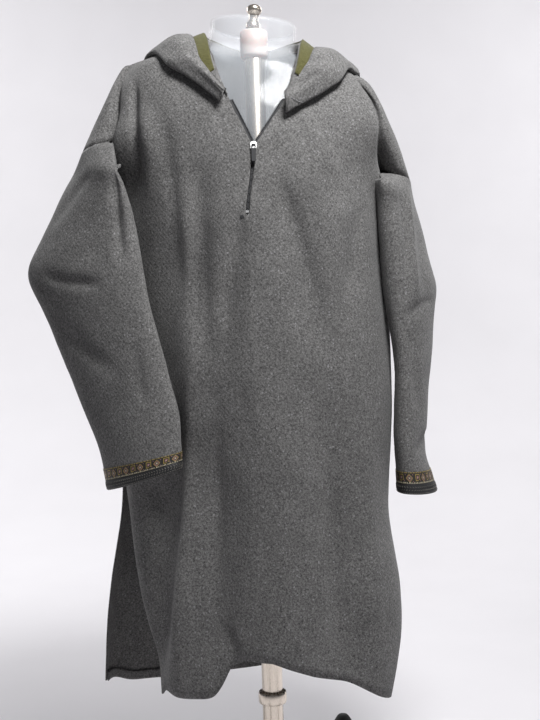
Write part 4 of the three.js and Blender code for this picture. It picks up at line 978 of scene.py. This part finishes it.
def band_mesh(name, node, cloth, cell, rows, lift, height_at):
    """A ribbon round the cuff on a grid of cells, each point at its own height above the cloth."""
    upper, lower = around(node)
    girth = sum((a - b).length for a, b in zip(upper, upper[1:] + upper[:1]))
    count = round(girth / cell)
    high, low = ring_points(upper, count), ring_points(lower, count)
    points = []
    for k in range(count):
        for r in range(rows + 1):
            spot = high[k].lerp(low[k], r / rows)
            points.append(seated_on(cloth, spot, lift + height_at(k, r, count))[0])
    step = rows + 1
    faces = []
    for k in range(count):
        n = (k + 1) % count
        for r in range(rows):
            faces.append((k * step + r, k * step + r + 1, n * step + r + 1, n * step + r))
    mesh = bpy.data.meshes.new(name)
    mesh.from_pydata(points, [], faces)
    mesh.update()
    first = mesh.polygons[0]
    if first.normal.dot(seated_on(cloth, first.center, 0)[1]) < 0:
        mesh.flip_normals()
    return mesh, high, low


# The ribbon's chart, one letter for a cell: dark ground, gilt, pink and cream.
BORDER = [
    "g.ggg.gg.gggg.g.ggg.gg",
    "......................",
    ".ggggggg..p...gg...p..",
    ".g.....g.....gppg.....",
    ".g.ppp.g....gp..pg....",
    ".g.pcp.g...gp.cc.pg...",
    ".g.pp..g...gp.cc.pg...",
    ".g....gg....gp..pg....",
    ".gggg...p....gppg.....",
    "..............gg...p..",
    "c.cc..c.cc.c..cc.c..c.",
]


def thread_material(name, low, high, metallic=0.0):
    """Flat woven thread in two shades, about 0.6 mm apart, with soiled patches 20 mm long."""
    material, tree, place = new_material(name)
    threads = add_node(tree, "ShaderNodeTexNoise", {"Vector": place, "Scale": 1 / 0.0006})
    soiled = add_node(tree, "ShaderNodeTexNoise", {"Vector": place, "Scale": 1 / 0.02, "Detail": 3})
    share = add_node(tree, "ShaderNodeMath", {0: soiled, 1: 0.45}, operation="ADD")
    share = add_node(tree, "ShaderNodeMath", {0: threads, 1: share}, operation="MULTIPLY")
    tints = {0: share, 6: linear(low), 7: linear(high)}
    relief = {"Height": threads, "Distance": 0.3 * MM, "Strength": 0.8}
    twisted = {
        "Base Color": add_node(tree, "ShaderNodeMix", tints, data_type="RGBA").outputs[2],
        "Metallic": metallic,
        "Roughness": 0.5,
        "Normal": add_node(tree, "ShaderNodeBump", relief),
    }
    shader = add_node(tree, "ShaderNodeBsdfPrincipled", twisted)
    add_node(tree, "ShaderNodeOutputMaterial", {"Surface": shader})
    return material


border_ground = thread_material("dark_ribbon_ground", "#151412", "#33312c")
gilt_thread = thread_material("gilt_thread", "#453a1c", "#c4ad68", 0.4)
pink_thread = thread_material("dusty_pink_thread", "#4a2f2f", "#b08286")
cream_thread = thread_material("cream_thread", "#575140", "#d8ceb2")
braid_yarn = thread_material("blue_black_braid_yarn", "#060607", "#303032")
edge_thread = thread_material("dull_edge_thread", "#3c3a35", "#96928a")
THREADS = {".": border_ground, "g": gilt_thread, "p": pink_thread, "c": cream_thread}
FIGURE_HEIGHT = 0.25 * MM


def border_height(k, r, count):
    """A point beside a figured cell lies a little higher."""
    cells = [(k - a, r - b) for a in (0, 1) for b in (0, 1) if 0 <= r - b < len(BORDER)]
    return FIGURE_HEIGHT if any(BORDER[b][a % len(BORDER[0])] != "." for a, b in cells) else 0.0


STRAND = {"count": 3, "pitch": 13 * MM, "swing": 0.26, "half": 0.21, "over": 0.9 * MM, "cross": 0.35 * MM}
RIBBON = {"cell": 1.3 * MM, "lift": 0.75 * MM, "thick": 0.6 * MM}
BRAID = {"cell": 0.95 * MM, "rows": 12, "lift": 0.55 * MM, "thick": 0.4 * MM}


def braid_height(k, r, count):
    """The height of the uppermost of three strands that cross over and under each other."""
    turns = round(count * BRAID["cell"] / STRAND["pitch"])
    place = r / BRAID["rows"] - 0.5
    best = 0.0
    for strand in range(STRAND["count"]):
        phase = math.tau * (k / count * turns + strand / STRAND["count"])
        away = (place - STRAND["swing"] * math.sin(phase)) / STRAND["half"]
        if abs(away) < 1:
            crest = STRAND["over"] + STRAND["cross"] * math.cos(2 * phase)
            best = max(best, math.sqrt(1 - away * away) * crest)
    return best


def seated_bits(name, spots, cloth, size, material, lift, turn=0.0):
    """A row of stitches on the cloth, each facing away from it."""
    seats = [seated_on(cloth, spot, lift) for spot in spots]
    places, normals = [seat[0] for seat in seats], [seat[1] for seat in seats]
    return rounded_bits(name, places, normals, size, material, turn)


STITCH = (2.1 * MM, 0.8 * MM, 0.7 * MM)
FLECK = (3.0 * MM, 0.8 * MM, 0.6 * MM)
RING_COUNT = 90
SEAM = {"pitch": 2.9 * MM, "lift": 1 * MM}
# Name, share of the way up the braid, size, pitch, lift and turn.
BRAID_STITCHES = [
    ("braid_stitches_{}", 0.1, STITCH, 3.6 * MM, 1.5 * MM, 0.0),
    ("braid_flecks_{}_0", 0.38, FLECK, 4.3 * MM, 1.6 * MM, 0.8),
    ("braid_flecks_{}_1", 0.66, FLECK, 4.3 * MM, 1.6 * MM, -0.8),
]
for hand, sleeve in (("left", sleeve_left), ("right", sleeve_right)):
    work = bmesh.new()
    work.from_mesh(sleeve.data)
    cloth = BVHTree.FromBMesh(work)
    work.free()
    name, node = f"gilt_border_{hand}", f"cuff_gilt_{hand}"
    mesh, _, low = band_mesh(name, node, cloth, RIBBON["cell"], len(BORDER), RIBBON["lift"], border_height)
    for face in mesh.polygons:
        k, r = divmod(face.index, len(BORDER))
        face.material_index = list(THREADS).index(BORDER[r][k % len(BORDER[0])])
    piece = linked(name, with_modifier(mesh, "SOLIDIFY", thickness=RIBBON["thick"], offset=-1))
    for material in THREADS.values():
        piece.data.materials.append(material)
    dressed(piece, "gilt_border", node)
    name, node = f"plaited_braid_{hand}", f"cuff_braid_{hand}"
    mesh, top, foot = band_mesh(name, node, cloth, BRAID["cell"], BRAID["rows"], BRAID["lift"], braid_height)
    mesh = with_modifier(mesh, "SOLIDIFY", thickness=BRAID["thick"], offset=-1)
    mesh.shade_smooth()
    piece = dressed(put_in_scene(mesh, name, braid_yarn), "dark_braid", node)
    low, top, foot = (ring_points(edge, RING_COUNT) for edge in (low, top, foot))
    between = [(a + b) / 2 for a, b in zip(low, top)]
    spots = smooth_path(between + between[:1], SEAM["pitch"])[:-1]
    line = seated_bits(f"cuff_stitches_{hand}", spots, cloth, STITCH, cream_thread, SEAM["lift"])
    for name, share, size, pitch, lift, turn in BRAID_STITCHES:
        path = [b.lerp(a, share) for a, b in zip(top, foot)]
        spots = smooth_path(path + path[:1], pitch)[:-1]
        line = seated_bits(name.format(hand), spots, cloth, size, edge_thread, lift, turn)


# ---- Top stitching ----
# The hood's opening is turned in and stitched about 9 mm from its edge in grey thread. A short
# seam closes its right end on the neckline.

sewing_thread = thread_material("grey_sewing_thread", "#5c5c5e", "#a3a3a6")
TOP_STITCH = (3.0 * MM, 1.1 * MM, 0.9 * MM)
TOP_PITCH = 4.6 * MM
TOP_LIFT = 0.5 * MM
LEFT_LINE = [
    (-48, -107, 1112), (-71, -97, 1142), (-91, -77, 1180), (-111, -22, 1217),
    (-117, 29, 1236), (-107, 82, 1228), (-57, 116, 1218), (-8, 125, 1213),
]
RIGHT_LINE = [
    (45, -108, 1104), (73, -97, 1134), (91, -76, 1167), (111, -23, 1198),
    (118, 28, 1214), (107, 82, 1216), (55, 116, 1214), (3, 125, 1213),
]
RIGHT_END = [(46, -114, 1108), (59, -116, 1101), (72, -115, 1096)]
for hand, tail, line in (("left", "", LEFT_LINE), ("right", "", RIGHT_LINE), ("right", "_end", RIGHT_END)):
    wool = bpy.data.objects[f"pheran_hood_{hand}"].data
    faces = [tuple(face.vertices) for face in wool.polygons]
    cloth = BVHTree.FromPolygons([vertex.co.copy() for vertex in wool.vertices], faces)
    spots = smooth_path([Vector(spot) * MM for spot in line], TOP_PITCH)
    name = f"top_stitches_hood_{hand}{tail}"
    seated_bits(name, spots, cloth, TOP_STITCH, sewing_thread, TOP_LIFT)


size = {"cad": cad_box, "scene": [list(corner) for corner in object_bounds()]}
